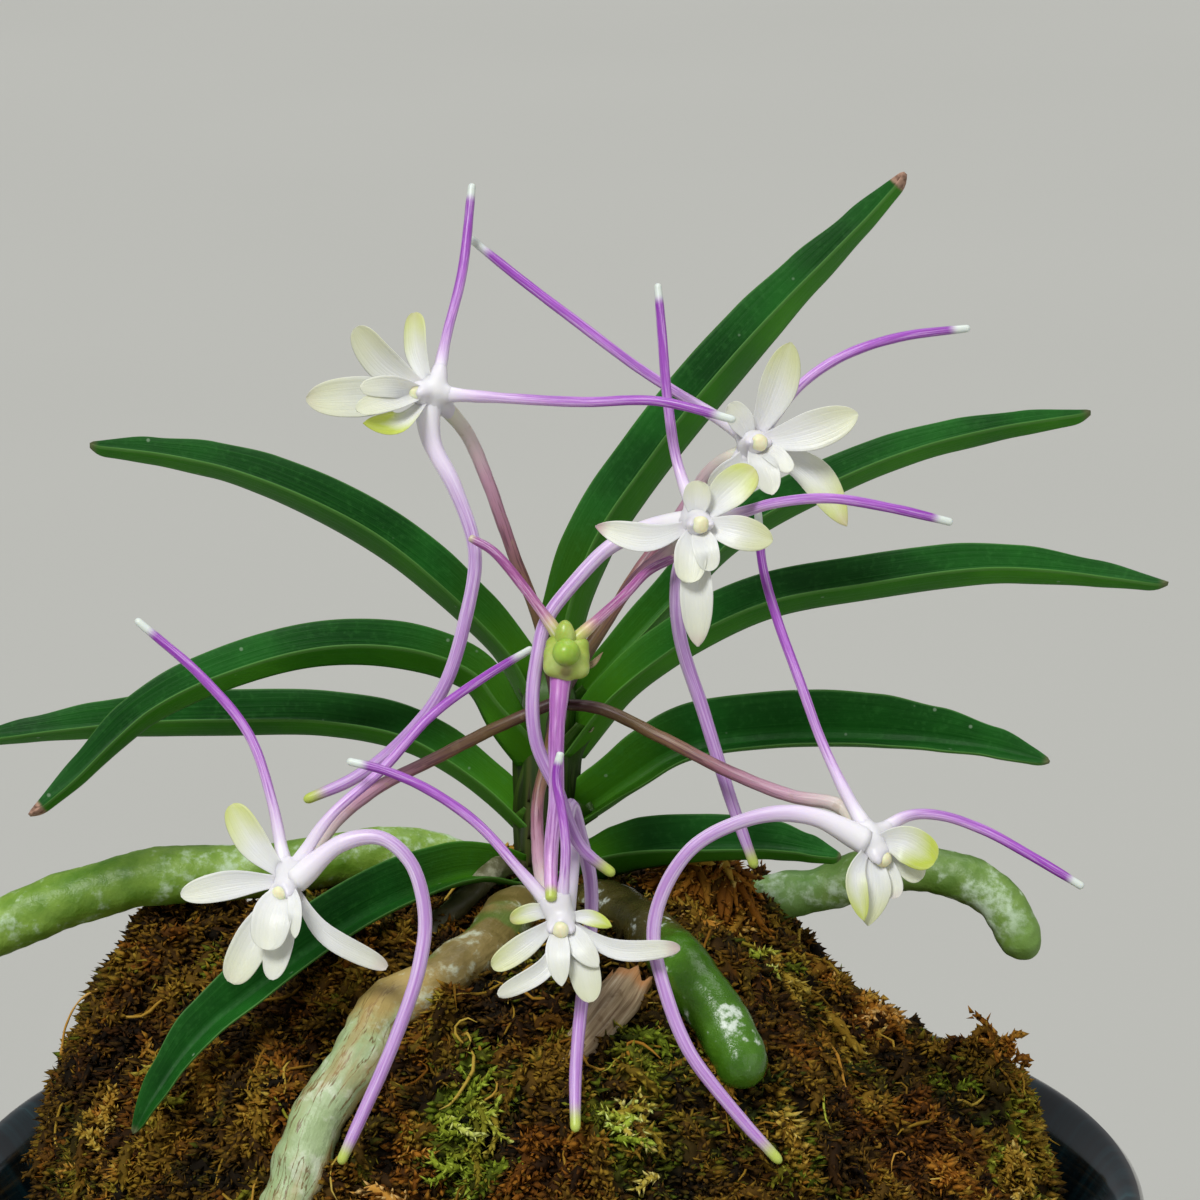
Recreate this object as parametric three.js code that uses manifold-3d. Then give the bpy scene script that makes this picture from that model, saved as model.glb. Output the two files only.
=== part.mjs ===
// Wind orchid (Vanda falcata, a pink three-spurred form) growing in a mound of sphagnum moss
// in a wide glazed pot. Millimetres, +Z up, origin at the centre of the pot's flat base.
//
// The plant is laid out in its blooming face: u runs to the right, v up and w out of the face
// towards whoever looks at it. The face leans back a little, so the blooms look slightly up.

import * as THREE from 'three';
import { mergeVertices } from 'three/addons/utils/BufferGeometryUtils.js';
import Module from 'manifold-3d';

const wasm = await Module();
wasm.setup();

// ---------------------------------------------------------------- driving dimensions

const POT_HEIGHT = 76.5;
const RIM_RADIUS = 67;
const FOOT_RADIUS = 40;
const FLOOR_THICKNESS = 7;
const POT_SIDES = 32;
const MOSS_RADIUS = 56.5;
const MOSS_HEIGHT = 34.5; // crown of the moss above the rim
const MOSS_SIDES = 42;

const FACE_LEAN = THREE.MathUtils.degToRad(15);
const FACE_ORIGIN = new THREE.Vector3(6, -21.5, POT_HEIGHT + 73);

const GAP = 0.3; // air kept between neighbouring pieces
const LEAF_THICKNESS = 1;
const EDGE_THICKNESS = 0.65;
const TEPAL_THICKNESS = 0.75;
const SIDE_SPUR_RADIUS = 0.54;
const MAIN_SPUR_RADIUS = 0.74;
const PEDICEL_RADIUS = 0.66;
const STALK_RADIUS = 1;
const SPUR_STEP = 4.5; // length of a straight stretch along a spur
const HEART_RADIUS = 1.7;
const COLUMN_RADIUS = 1.05;

// ---------------------------------------------------------------- materials

function finish(colour, roughness) {
  return new THREE.MeshStandardMaterial({ color: colour, roughness, metalness: 0 });
}

const GLAZE = finish(0x10272c, 0.15);
const MOSS = finish(0x6b5320, 0.95);
const LEAF = finish(0x2c6322, 0.45);
const STEM = finish(0x6f7a3a, 0.6);
const STALK = finish(0x7d5a4a, 0.55);
const PETAL = finish(0xf6f7ea, 0.5);
const SPUR = finish(0xb565c8, 0.45);
const BUD = finish(0xb9cf4a, 0.5);
const ROOT = finish(0x9fb083, 0.7);
const HUSK = finish(0xb9a078, 0.85);

// ---------------------------------------------------------------- solids

function toSolid(geometry) {
  const bare = geometry.clone();
  bare.deleteAttribute('normal');
  bare.deleteAttribute('uv');
  const merged = mergeVertices(bare, 1e-4);
  return new wasm.Manifold(new wasm.Mesh({
    numProp: 3,
    vertProperties: Float32Array.from(merged.attributes.position.array),
    triVerts: Uint32Array.from(merged.index.array),
  }));
}

function toGeometry(solid) {
  const mesh = solid.getMesh();
  const geometry = new THREE.BufferGeometry();
  geometry.setAttribute('position', new THREE.BufferAttribute(mesh.vertProperties, 3));
  geometry.setIndex(new THREE.BufferAttribute(mesh.triVerts, 1));
  geometry.computeVertexNormals();
  return geometry;
}

function fuse(solids) {
  return solids.reduce((whole, next) => whole.add(next));
}

function largest(solid) {
  const bodies = solid.decompose();
  return bodies.reduce((best, next) => (next.volume() > best.volume() ? next : best));
}

// A closed skin through rings that all hold the same number of points, closed by a fan to the
// middle of the first ring and of the last.
function skin(rings) {
  const count = rings[0].length;
  const points = rings.flat();
  const faces = [];
  for (let ring = 0; ring + 1 < rings.length; ring += 1) {
    for (let side = 0; side < count; side += 1) {
      const next = (side + 1) % count;
      const a = ring * count + side;
      const b = ring * count + next;
      const c = a + count;
      const d = b + count;
      faces.push(a, b, d, a, d, c);
    }
  }
  closeEnd(points, faces, 0, count, true);
  closeEnd(points, faces, (rings.length - 1) * count, count, false);
  const geometry = new THREE.BufferGeometry();
  geometry.setAttribute('position', new THREE.Float32BufferAttribute(points.flatMap((p) => p.toArray()), 3));
  geometry.setIndex(faces);
  return toSolid(geometry);
}

function closeEnd(points, faces, first, count, atStart) {
  const middle = new THREE.Vector3();
  for (let side = 0; side < count; side += 1) middle.add(points[first + side]);
  const hub = points.push(middle.divideScalar(count)) - 1;
  for (let side = 0; side < count; side += 1) {
    const here = first + side;
    const next = first + ((side + 1) % count);
    if (atStart) faces.push(hub, next, here);
    else faces.push(hub, here, next);
  }
}

// ---------------------------------------------------------------- the blooming face

function at([u, v, w]) {
  const up = Math.sin(FACE_LEAN);
  const out = Math.cos(FACE_LEAN);
  return new THREE.Vector3(u, v * up - w * out, v * out + w * up).add(FACE_ORIGIN);
}

function facing(direction) {
  return at(direction).sub(FACE_ORIGIN).normalize();
}

function curveThrough(points) {
  return new THREE.CatmullRomCurve3(points, false, 'centripetal');
}

// Reads a value from evenly spaced samples along a piece, 0 at its foot and 1 at its tip.
function along(samples, t) {
  const place = t * (samples.length - 1);
  const below = Math.min(Math.floor(place), samples.length - 2);
  return THREE.MathUtils.lerp(samples[below], samples[below + 1], place - below);
}

// A round, tapering body along a curve. The radii are samples from foot to tip.
function rod(points, radii, { sides = 6, steps = 12, grow = 0 } = {}) {
  const curve = curveThrough(points);
  const frames = curve.computeFrenetFrames(steps, false);
  const rings = [];
  for (let step = 0; step <= steps; step += 1) {
    const t = step / steps;
    const middle = curve.getPointAt(t);
    if (step === 0) middle.addScaledVector(frames.tangents[step], -grow);
    if (step === steps) middle.addScaledVector(frames.tangents[step], grow);
    const radius = along(radii, t) + grow;
    const ring = [];
    for (let side = 0; side < sides; side += 1) {
      const angle = (side / sides) * 2 * Math.PI;
      ring.push(middle.clone()
        .addScaledVector(frames.normals[step], radius * Math.cos(angle))
        .addScaledVector(frames.binormals[step], radius * Math.sin(angle)));
    }
    rings.push(ring);
  }
  return skin(rings);
}

// A channelled blade: two halves that rise from a middle groove to the edges, with a keel below.
// widths and folds are samples from foot to tip; a fold is the rise of an edge over half a width.
// sink is how far the groove lies below the line, as a share of that rise.
function blade(points, widths, folds, upper, { thickness, edge, sink = 0, steps = 10, grow = 0 }) {
  const curve = curveThrough(points);
  const rings = [];
  for (let step = 0; step <= steps; step += 1) {
    const t = step / steps;
    const tangent = curve.getTangentAt(t);
    const across = tangent.clone().cross(upper).normalize();
    const above = across.clone().cross(tangent).normalize();
    const middle = curve.getPointAt(t);
    if (step === 0) middle.addScaledVector(tangent, -grow);
    if (step === steps) middle.addScaledVector(tangent, grow);
    const half = along(widths, t) / 2;
    const fold = along(folds, t);
    const slant = Math.hypot(1, fold); // height over thickness of a sloping half
    const groove = -sink * fold * half;
    const top = groove + fold * half;
    const point = (side, height) => middle.clone()
      .addScaledVector(across, side)
      .addScaledVector(above, height);
    rings.push([
      point(0, groove + grow * slant),
      point(half + grow, top + grow),
      point(half + grow, top - edge * slant - grow),
      point(0, groove - (thickness + grow) * slant),
      point(-half - grow, top - edge * slant - grow),
      point(-half - grow, top + grow),
    ]);
  }
  return skin(rings);
}

function ball(centre, radius, { stretch = [1, 1, 1], grow = 0, detail = 1 }) {
  const shape = new THREE.IcosahedronGeometry(1, detail);
  shape.scale(radius * stretch[0] + grow, radius * stretch[1] + grow, radius * stretch[2] + grow);
  shape.rotateX(Math.PI / 2 - FACE_LEAN);
  shape.translate(...centre.toArray());
  return toSolid(shape);
}

// ---------------------------------------------------------------- placing pieces

const orchid = new THREE.Group();
const placed = [];

function addMesh(name, material, solid) {
  const mesh = new THREE.Mesh(toGeometry(solid), material);
  mesh.name = name;
  orchid.add(mesh);
}

function boxesMeet(a, b) {
  return [0, 1, 2].every((axis) => a.min[axis] < b.max[axis] && b.min[axis] < a.max[axis]);
}

// Adds a piece, cut clear of all that stands already. shape(grow) makes its solid, fatter all
// round by grow, which is the room that later pieces leave it.
function place(name, material, shape) {
  addMesh(name, material, cutClear(shape(0)));
  placed.push(shape(GAP));
}

function cutClear(whole) {
  const near = placed.filter((room) => boxesMeet(whole.boundingBox(), room.boundingBox()));
  return largest(near.reduce((solid, room) => solid.subtract(room), whole));
}

// ---------------------------------------------------------------- stem, bud and flower stalk

// The short stem is wrapped in leaf sheaths, each standing out a little over the next.
const STEM_AXIS = [
  [0, 1, POT_HEIGHT + 21.5],
  [0, 0.5, POT_HEIGHT + 37.5],
  [0.5, -0.5, POT_HEIGHT + 59.5],
];
const STEM_RADII = [3, 3.6, 4.4, 3.8, 4.6, 4, 4.8, 4.1, 4.6, 3.8, 4.1, 3.2, 2.2];

place('stem_with_leaf_sheaths', STEM, (grow) => {
  const axis = STEM_AXIS.map((point) => new THREE.Vector3(...point));
  return rod(axis, STEM_RADII, { sides: 9, steps: STEM_RADII.length - 1, grow });
});

const BUD_CENTRE = [-3.5, -5.5, 4.5];
const BUD_LOBES = [
  { from: [0, 0, 0], radius: 2.2, stretch: [1, 1.05, 0.95] },
  { from: [-1, -1.6, 0.3], radius: 1.3 },
  { from: [1.1, -1.6, 0.3], radius: 1.3 },
  { from: [0, 0.2, 2.1], radius: 1.35 },
  { from: [0, 2.4, 0.9], radius: 1.2 },
];

place('bud', BUD, (grow) => fuse(BUD_LOBES.map(({ from, radius, stretch }) => {
  const centre = at(BUD_CENTRE.map((value, axis) => value + from[axis]));
  return ball(centre, radius, { stretch, grow });
})));

const STALK_LINE = [
  [-5, -21.5, -28], [-5, -18, -22], [-5, -15, -16], [-4.5, -12, -12], [-4, -9.5, -5], [-3.5, -7, 3],
];

place('flower_stalk', STALK, (grow) => {
  const radius = STALK_RADIUS;
  return rod(STALK_LINE.map(at), [radius * 1.1, radius, radius * 0.9], { steps: 10, grow });
});

// ---------------------------------------------------------------- blooms

// Each bloom has its heart, the way it looks, its tepals and lip lobes (middle, tip, width), its
// pedicel from heart to stalk, and its three nectar spurs from heart to tip. The main spur belongs
// to the lip and is the stoutest; the other two belong to petals that took a lip's form.
const BLOOMS = [
  {
    heart: [-17.5, 21.5, 1],
    looks: [-0.55, 0, 0.85],
    tepals: [
      { middle: [-22, 24.5, 2], tip: [-25, 28, 3], width: 3.6 },
      { middle: [-19, 26, 0], tip: [-19.5, 30, -1], width: 3 },
      { middle: [-24.5, 21, 4], tip: [-30, 20.5, 5], width: 3.7 },
      { middle: [-22, 22.5, 5], tip: [-24.5, 22, 6.5], width: 2.4 },
      { middle: [-22, 20.5, 5.5], tip: [-25, 19.5, 7], width: 2.6 },
      { middle: [-21, 19.5, 3], tip: [-24, 18, 5], width: 2.6 },
    ],
    pedicel: [[-16.5, 20.5, -1], [-14, 17.5, -4], [-12, 13, -5.5], [-9.2, 5, -7.5], [-6.7, -1.5, -9],
      [-5.5, -6.5, -10], [-4.5, -11.5, -11]],
    upper: [[-17, 22.5, 0.5], [-16, 28, -3], [-14.5, 34.5, -5], [-13.5, 44, -7]],
    side: [[-17.5, 21.5, 1], [-10.5, 21, 1.5], [-2, 20.5, 3], [6, 20.5, 5], [14, 18.5, 6]],
    main: [[-18, 20.5, 1], [-17.5, 16.5, 1], [-15, 11.5, 1.5], [-13, 5, 1.5], [-14, -2, 1], [-16.5, -9.5, 0],
      [-21, -15, -1], [-25.5, -18.5, -1.5], [-31, -21, -2]],
  },
  {
    heart: [16, 16.5, -5.5],
    looks: [0.2, 0.1, 0.97],
    tepals: [
      { middle: [18.5, 22, -4], tip: [20, 27, -3], width: 4 },
      { middle: [21.5, 17.5, -3], tip: [27, 19.5, -2.5], width: 4 },
      { middle: [22, 13.5, -5.5], tip: [26, 8, -5], width: 3.6 },
      { middle: [15, 18.5, -4], tip: [13.5, 20.5, -3], width: 2.4 },
      { middle: [14.5, 14, -5], tip: [11.5, 11.5, -5.5], width: 3 },
      { middle: [18.5, 15, -2.5], tip: [20, 13.5, -1.5], width: 2.2 },
      { middle: [17, 14, -2], tip: [18, 11, -1], width: 3.2 },
    ],
    pedicel: [[16, 16, -7], [12, 14, -10], [8.5, 9, -10.5], [4, 3, -9.5], [0, -3.5, -8], [-4, -10, -6.5]],
    upper: [[16, 17, -6], [9.5, 21, -6], [4, 24.5, -6], [-2, 29, -6.5], [-8.5, 34, -7.5], [-14, 38.5, -8.5]],
    side: [[16.5, 17, -6.5], [21.5, 23, -9], [26, 26, -10], [32, 28, -11], [39.5, 29, -12]],
    main: [[16, 16, -6], [12, 10, -8], [8.5, 4, -7], [8.3, -3, -7], [11, -12, -8], [14, -21.5, -9],
      [16.5, -28.5, -10]],
  },
  {
    heart: [10, 8, 3.5],
    looks: [0, 0.1, 0.99],
    tepals: [
      { middle: [10, 10, 4.5], tip: [10, 12, 5], width: 2.4 },
      { middle: [13, 11, 4], tip: [16, 13.5, 3.5], width: 4 },
      { middle: [14, 7, 5.5], tip: [17.5, 6, 5.5], width: 3.6 },
      { middle: [5, 7, 5.5], tip: [-0.5, 7.5, 5], width: 3 },
      { middle: [9, 5, 6.5], tip: [8, 2.5, 7.5], width: 2.4 },
      { middle: [11, 5, 6.5], tip: [11.5, 2, 7], width: 2.2 },
      { middle: [10, 1.5, 6], tip: [10, -4.5, 5.5], width: 3.6 },
    ],
    pedicel: [[9.5, 7, 2], [7, 5, -3], [4, 2.5, -4], [0.5, -2.5, -4], [-4, -9, -3.5]],
    upper: [[10, 8.5, 3], [8, 14.5, 0], [7, 21, 1], [6.5, 27, 1], [6, 33, 0]],
    side: [[10.5, 8, 2.5], [14.5, 9, 1.5], [18, 10, 3.5], [23.5, 10.5, 4.5], [30, 9.5, 4.5], [36.5, 8, 3.5]],
    main: [[9.5, 8, 2.5], [5, 7.5, 0], [1, 5.5, 0], [-2.5, 2, 1], [-5.5, -2, 2], [-6.5, -6, 3],
      [-7, -10.5, 3.5], [-6.5, -15, 3.5], [-4.5, -19.5, 3], [-2, -25.5, 3], [1.5, -28.5, 3]],
  },
  {
    heart: [-32, -29, 4],
    looks: [-0.1, 0.05, 0.99],
    tepals: [
      { middle: [-35.5, -25.5, 4], tip: [-38, -21, 3.5], width: 3.8 },
      { middle: [-37.5, -29.5, 5], tip: [-43, -30, 5.5], width: 3.4 },
      { middle: [-35, -34, 6.5], tip: [-38, -39, 7], width: 3.8 },
      { middle: [-32.5, -34.5, 7.5], tip: [-33.5, -38.5, 8], width: 3.2 },
      { middle: [-28, -34, 4.5], tip: [-22, -38, 4], width: 2.8 },
      { middle: [-33.5, -31, 7.5], tip: [-34.5, -32.5, 9], width: 2 },
      { middle: [-31, -31, 7.5], tip: [-30.5, -32.5, 8.5], width: 2 },
    ],
    pedicel: [[-31.5, -28.5, 2], [-27.5, -23, -1], [-23, -19.5, -3], [-17, -16.5, -5], [-11, -13.5, -7],
      [-4, -10.5, -8]],
    upper: [[-32.5, -28.5, 3.5], [-34, -21, 2], [-36.5, -14, 1], [-41.5, -8, 0], [-48.5, -2, -1]],
    side: [[-32, -28.5, 4], [-28, -22.5, 4.5], [-22.5, -17.5, 4], [-17.5, -12, 3.5], [-12, -8, 2],
      [-7, -5, -0.5]],
    main: [[-31.5, -29, 4.5], [-26.5, -25, 5.5], [-22.5, -24.5, 6], [-19.5, -27, 6.5], [-18, -32, 7],
      [-18.5, -37.5, 8], [-21, -45, 9], [-26.5, -57.5, 11]],
  },
  {
    heart: [28, -25, 3],
    looks: [0.3, -0.2, 0.93],
    tepals: [
      { middle: [31.5, -24.5, 4], tip: [34, -27.5, 4.5], width: 4.2 },
      { middle: [27, -28, 3], tip: [27, -31.5, 3], width: 3.4 },
      { middle: [28, -29, 6], tip: [27.5, -33, 6.5], width: 3.2 },
      { middle: [29, -27, 6], tip: [30.5, -30, 7], width: 2.4 },
      { middle: [30.5, -26, 0.5], tip: [33, -29.5, 1], width: 3 },
    ],
    pedicel: [[27.5, -24.5, 1.5], [25, -21.5, -1], [20, -20.5, -2], [13.5, -18, -4], [6.5, -14.5, -6],
      [0, -11.5, -8], [-4.5, -11, -9.5]],
    upper: [[28, -24.5, 2.5], [25.5, -20, 1.5], [23, -14.5, 0], [21, -9, 0], [18.5, -2, -1], [17, 3.5, -1.5],
      [16.5, 9.5, -2]],
    side: [[28.5, -24.5, 2], [32, -22.5, 0], [35.5, -22.5, -1], [40, -24, -1], [45.5, -27, -1],
      [50.5, -30, -1]],
    main: [[27.5, -25, 3.5], [22.5, -22.5, 4.5], [18.5, -22, 5], [14, -23, 5.5], [9.5, -25.5, 6],
      [6.5, -30, 6], [5.5, -34.5, 6], [6.5, -39.5, 6.5], [9, -46, 8], [13.5, -52, 9], [18.5, -57.5, 10]],
  },
  {
    heart: [-4, -32.5, 7.5],
    looks: [0, 0, 1],
    tepals: [
      { middle: [-6.5, -32, 8.5], tip: [-9, -32.5, 9], width: 2.4 },
      { middle: [-1, -32.5, 8.5], tip: [1, -33, 9], width: 2.4 },
      { middle: [-7, -35, 9], tip: [-11, -37, 9.5], width: 3 },
      { middle: [-5.5, -37.5, 9.5], tip: [-10.5, -40, 10], width: 2.6 },
      { middle: [1, -35, 8.5], tip: [8, -35.5, 9], width: 2.8 },
      { middle: [-4.5, -35.5, 11], tip: [-4, -39, 11.5], width: 2.8 },
      { middle: [-1.5, -35, 10.5], tip: [0, -36.5, 11], width: 2.6 },
      { middle: [-2, -36.5, 10], tip: [-0.5, -40.5, 10.5], width: 3.6 },
    ],
    pedicel: [[-4.5, -32, 6.5], [-6, -29, 3], [-6.5, -25, 0], [-6.5, -21, -2], [-5.5, -16.5, -4],
      [-4, -9.5, -5]],
    upper: [[-4, -32, 8], [-3.5, -25.5, 9.5], [-4, -21, 9.5], [-4.5, -18, 9.5], [-4, -15.5, 9.5]],
    side: [[-4.5, -32, 8], [-8, -28, 8], [-12.5, -23, 8], [-17.5, -19.5, 8], [-22, -17.5, 8],
      [-26, -16.5, 7.5]],
    main: [[-4, -32.5, 6.5], [-3, -27, 1.5], [-3.5, -23.5, -1], [-3, -21.5, -3], [-2, -25, -4.5],
      [-1, -29.5, -4], [-1, -34.5, -1], [-1.5, -38.5, 2], [-2, -42.5, 6], [-2.5, -48.5, 10], [-2.5, -54, 13]],
  },
];

// Widths, folds and radii from foot to tip, as shares of the widest place.
const TEPAL_OUTLINE = [0.3, 0.72, 1, 0.92, 0.3];
const TEPAL_FOLD = [0.3, 0.25, 0.15];
const SPUR_TAPER = [1.65, 1.25, 1.02, 1, 1, 0.98, 0.95, 0.9, 0.7];
const PEDICEL_TAPER = [1.3, 1.1, 1, 1, 0.95];

function tepal(heart, { middle, tip, width }, looks, grow) {
  const line = [heart, middle, tip].map(at);
  const widths = TEPAL_OUTLINE.map((share) => share * width);
  const options = { thickness: TEPAL_THICKNESS, edge: TEPAL_THICKNESS, steps: 4, grow };
  return blade(line, widths, TEPAL_FOLD, facing(looks), options);
}

function bloom({ heart, looks, tepals }, grow) {
  const centre = at(heart);
  const column = centre.clone().addScaledVector(facing(looks), HEART_RADIUS);
  const parts = tepals.map((each) => tepal(heart, each, looks, grow));
  return fuse([
    ball(centre, HEART_RADIUS, { grow }),
    ball(column, COLUMN_RADIUS, { stretch: [1, 1, 1.3], grow, detail: 0 }),
    ...parts,
  ]);
}

function spur(points, radius, grow) {
  const radii = SPUR_TAPER.map((share) => share * radius);
  const steps = 3 + Math.round(curveThrough(points.map(at)).getLength() / SPUR_STEP);
  return rod(points.map(at), radii, { steps, grow });
}

BLOOMS.forEach((each, index) => {
  place(`flower_${index + 1}`, PETAL, (grow) => bloom(each, grow));
});

BLOOMS.forEach(({ pedicel }, index) => {
  const radii = PEDICEL_TAPER.map((share) => share * PEDICEL_RADIUS);
  place(`pedicel_${index + 1}`, STALK, (grow) => rod(pedicel.map(at), radii, { steps: 8, grow }));
});

BLOOMS.forEach(({ upper, side, main }, index) => {
  const name = `spur_${index + 1}`;
  place(`${name}_main`, SPUR, (grow) => spur(main, MAIN_SPUR_RADIUS, grow));
  place(`${name}_upper`, SPUR, (grow) => spur(upper, SIDE_SPUR_RADIUS, grow));
  place(`${name}_side`, SPUR, (grow) => spur(side, SIDE_SPUR_RADIUS, grow));
});

const BUD_SPURS = {
  left: [[-4, -4, 4.5], [-8, 1.5, 5], [-11, 5, 5], [-13.5, 6.5, 4.5]],
  right: [[-3, -4.5, 4.5], [2.5, 0.5, 4.5], [5, 3, 3], [8, 4.5, 1]],
  main: [[-4, -7, 5], [-4.5, -14.5, 6], [-4.5, -20.5, 6.5], [-5, -25.5, 7], [-5, -29.5, 9]],
};

Object.entries(BUD_SPURS).forEach(([name, points]) => {
  const radius = name === 'main' ? MAIN_SPUR_RADIUS * 1.1 : SIDE_SPUR_RADIUS;
  place(`bud_spur_${name}`, SPUR, (grow) => spur(points, radius, grow));
});

// ---------------------------------------------------------------- leaves

// The leaves stand in two ranks in the plant's plane. upper is the way the upper side looks.
const LEAVES = [
  { width: 6, upper: [-0.6, 0.52, 0.61], line: [[-5, -9, -25], [-4.5, -3, -25], [-1, 7, -24.5],
    [5.5, 16.5, -24], [12.5, 25, -23.5], [20, 33.5, -23], [28, 41.5, -22], [33, 46.5, -21]] },
  { width: 4.2, upper: [0, 0.8, 0.6], line: [[-4.5, -13, -26.5], [1.5, -6, -28], [7.5, 0.5, -29],
    [15, 8, -30], [27, 14.5, -31], [35, 17.5, -31.5], [44, 19.5, -32], [54.5, 21, -33]] },
  { width: 4.9, upper: [0, 0.77, 0.64], line: [[-4, -16.5, -26], [1.5, -9.5, -22.5], [9.5, -3.5, -21],
    [18, 0.5, -20], [28.5, 2.5, -19.5], [42.5, 4, -19], [55, 3, -19], [61.5, 2, -19]] },
  { width: 7, upper: [0, 0.55, 0.83], line: [[-4.5, -24.5, -28], [2.5, -19.5, -25.5], [9, -15.5, -24.5],
    [18, -14, -24], [30.5, -14, -23.5], [42, -15.5, -23], [49, -17.5, -22.5]] },
  { width: 4.9, upper: [0.1, 0.77, 0.63], line: [[-6.5, -11.5, -25.5], [-9, -6, -23.5], [-15.5, 1, -23],
    [-23, 7, -22.5], [-32, 12, -22], [-40, 15, -22], [-48.5, 16.5, -22], [-55.5, 17, -22]] },
  { width: 4.7, upper: [0, 0.8, 0.6], line: [[-6.5, -17, -26], [-10, -12, -22], [-13.5, -7.5, -20],
    [-20, -5, -19], [-30, -4.5, -18], [-40, -7, -17.5], [-49, -11.5, -17], [-57, -19, -16.5],
    [-61.5, -23, -16]] },
  { width: 5, upper: [0, 0.75, 0.66], line: [[-6.5, -25.5, -29], [-12, -20, -28], [-20.5, -14.5, -28],
    [-30, -12.5, -28.5], [-41, -12.5, -29], [-53.5, -13, -29.5], [-66, -14.5, -30], [-70.5, -15.5, -30]] },
  { width: 6, upper: [-0.2, 0.4, 0.89], line: [[-7, -30.5, -29.5], [-14, -29, -22], [-21.5, -31, -16],
    [-29, -35, -11], [-36, -40, -7], [-42.5, -45.5, -4.5], [-47, -52, -3.5], [-49, -56, -3.5]] },
  { width: 5.4, upper: [0, 0.7, 0.71], line: [[-4, -29.5, -29], [2.5, -27, -23.5], [9.5, -26, -20],
    [18, -26, -18], [26, -27.5, -17]] },
];

const LEAF_OUTLINE = [0.6, 0.75, 0.9, 1, 1, 1, 0.95, 0.8, 0.55, 0.16];
const LEAF_FOLD = [1.6, 1.5, 1.4, 1.35, 1.25, 1];

LEAVES.forEach(({ width, upper, line }, index) => {
  place(`leaf_${index + 1}`, LEAF, (grow) => {
    const widths = LEAF_OUTLINE.map((share) => share * width);
    const options = { thickness: LEAF_THICKNESS, edge: EDGE_THICKNESS, sink: 0.5, steps: 11, grow };
    return blade(line.map(at), widths, LEAF_FOLD, facing(upper), options);
  });
});

// ---------------------------------------------------------------- roots and husk

// Thick aerial roots leave the foot of the stem, lie over the moss and end in blunt tips.
const ROOTS = [
  { radius: 3.1, line: [[-2, 3, 108], [-9, 3, 112], [-18, 2, 114], [-30, 1, 112.5], [-44, 0, 112],
    [-52, -1, 110], [-60, -2, 107], [-68, -4, 104]] },
  { radius: 2.6, line: [[3, 3, 106], [12, 3, 108], [24, 3, 108.5], [30, 3, 109.5], [36, 3, 111.5],
    [42, 3, 112], [49, 1, 110], [54, -1, 103]] },
  { radius: 2.9, line: [[-1, -3, 107], [-3, -9, 111], [-6, -20, 111], [-12, -28, 109], [-16, -30, 108],
    [-19, -35, 104], [-23, -39, 99], [-26, -43, 91], [-28, -46, 84]] },
  { radius: 3, line: [[2, -2, 107], [6, -7, 111], [12, -18, 111], [15.8, -27, 109.5], [18.9, -32, 106.3],
    [21.6, -37, 101.6]] },
  { radius: 1.3, line: [[-1, 2, 111], [-4.5, -3, 114.5], [-8.5, -8, 112.3], [-12, -12, 110], [-14, -14.5, 106]] },
];
const ROOT_SWELL = [0.8, 0.95, 1, 0.96, 1.02, 0.97, 1.03, 0.98, 1, 0.97, 0.65];

ROOTS.forEach(({ radius, line }, index) => {
  place(`root_${index + 1}`, ROOT, (grow) => {
    const points = line.map((point) => new THREE.Vector3(...point));
    const radii = ROOT_SWELL.map((share) => share * radius);
    return rod(points, radii, { sides: 7, steps: 10, grow });
  });
});

// A dry, papery sheath lies on the moss in front of the stem.
const HUSK_LINE = [[9.5, -27, 111], [6.2, -33.5, 108.6], [2, -39, 104.8]];
const HUSK_WIDTHS = [4.5, 5.2, 4.8, 4, 1.6];
const HUSK_FOLD = [-0.5, -0.5, -0.4];

place('dry_sheath', HUSK, (grow) => {
  const line = HUSK_LINE.map((point) => new THREE.Vector3(...point));
  const upper = new THREE.Vector3(0, -0.6, 0.8);
  const options = { thickness: 1.4, edge: 0.8, steps: 4, grow };
  return blade(line, HUSK_WIDTHS, HUSK_FOLD, upper, options);
});

// ---------------------------------------------------------------- moss and pot

// The pot's outline in half section, from the middle of its base round the lip to the inside.
const POT_OUTLINE = [
  [0, 0], [FOOT_RADIUS - 1, 0], [FOOT_RADIUS, 1], [FOOT_RADIUS + 1.5, 6],
  [FOOT_RADIUS + 8, 23], [FOOT_RADIUS + 14, 43], [FOOT_RADIUS + 18, 59],
  [RIM_RADIUS - 4, POT_HEIGHT - 9], [RIM_RADIUS, POT_HEIGHT - 4],
  [RIM_RADIUS - 0.4, POT_HEIGHT - 0.6], [RIM_RADIUS - 2, POT_HEIGHT],
  [MOSS_RADIUS + 4, POT_HEIGHT - 6], [MOSS_RADIUS - 1.5, POT_HEIGHT - 15],
  [FOOT_RADIUS + 9, 43], [FOOT_RADIUS + 3, 23],
  [FOOT_RADIUS - 6, FLOOR_THICKNESS], [0, FLOOR_THICKNESS],
];

const potShape = new THREE.LatheGeometry(POT_OUTLINE.map(([r, z]) => new THREE.Vector2(r, z)), POT_SIDES);
potShape.rotateX(Math.PI / 2);
const pot = toSolid(potShape);

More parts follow.
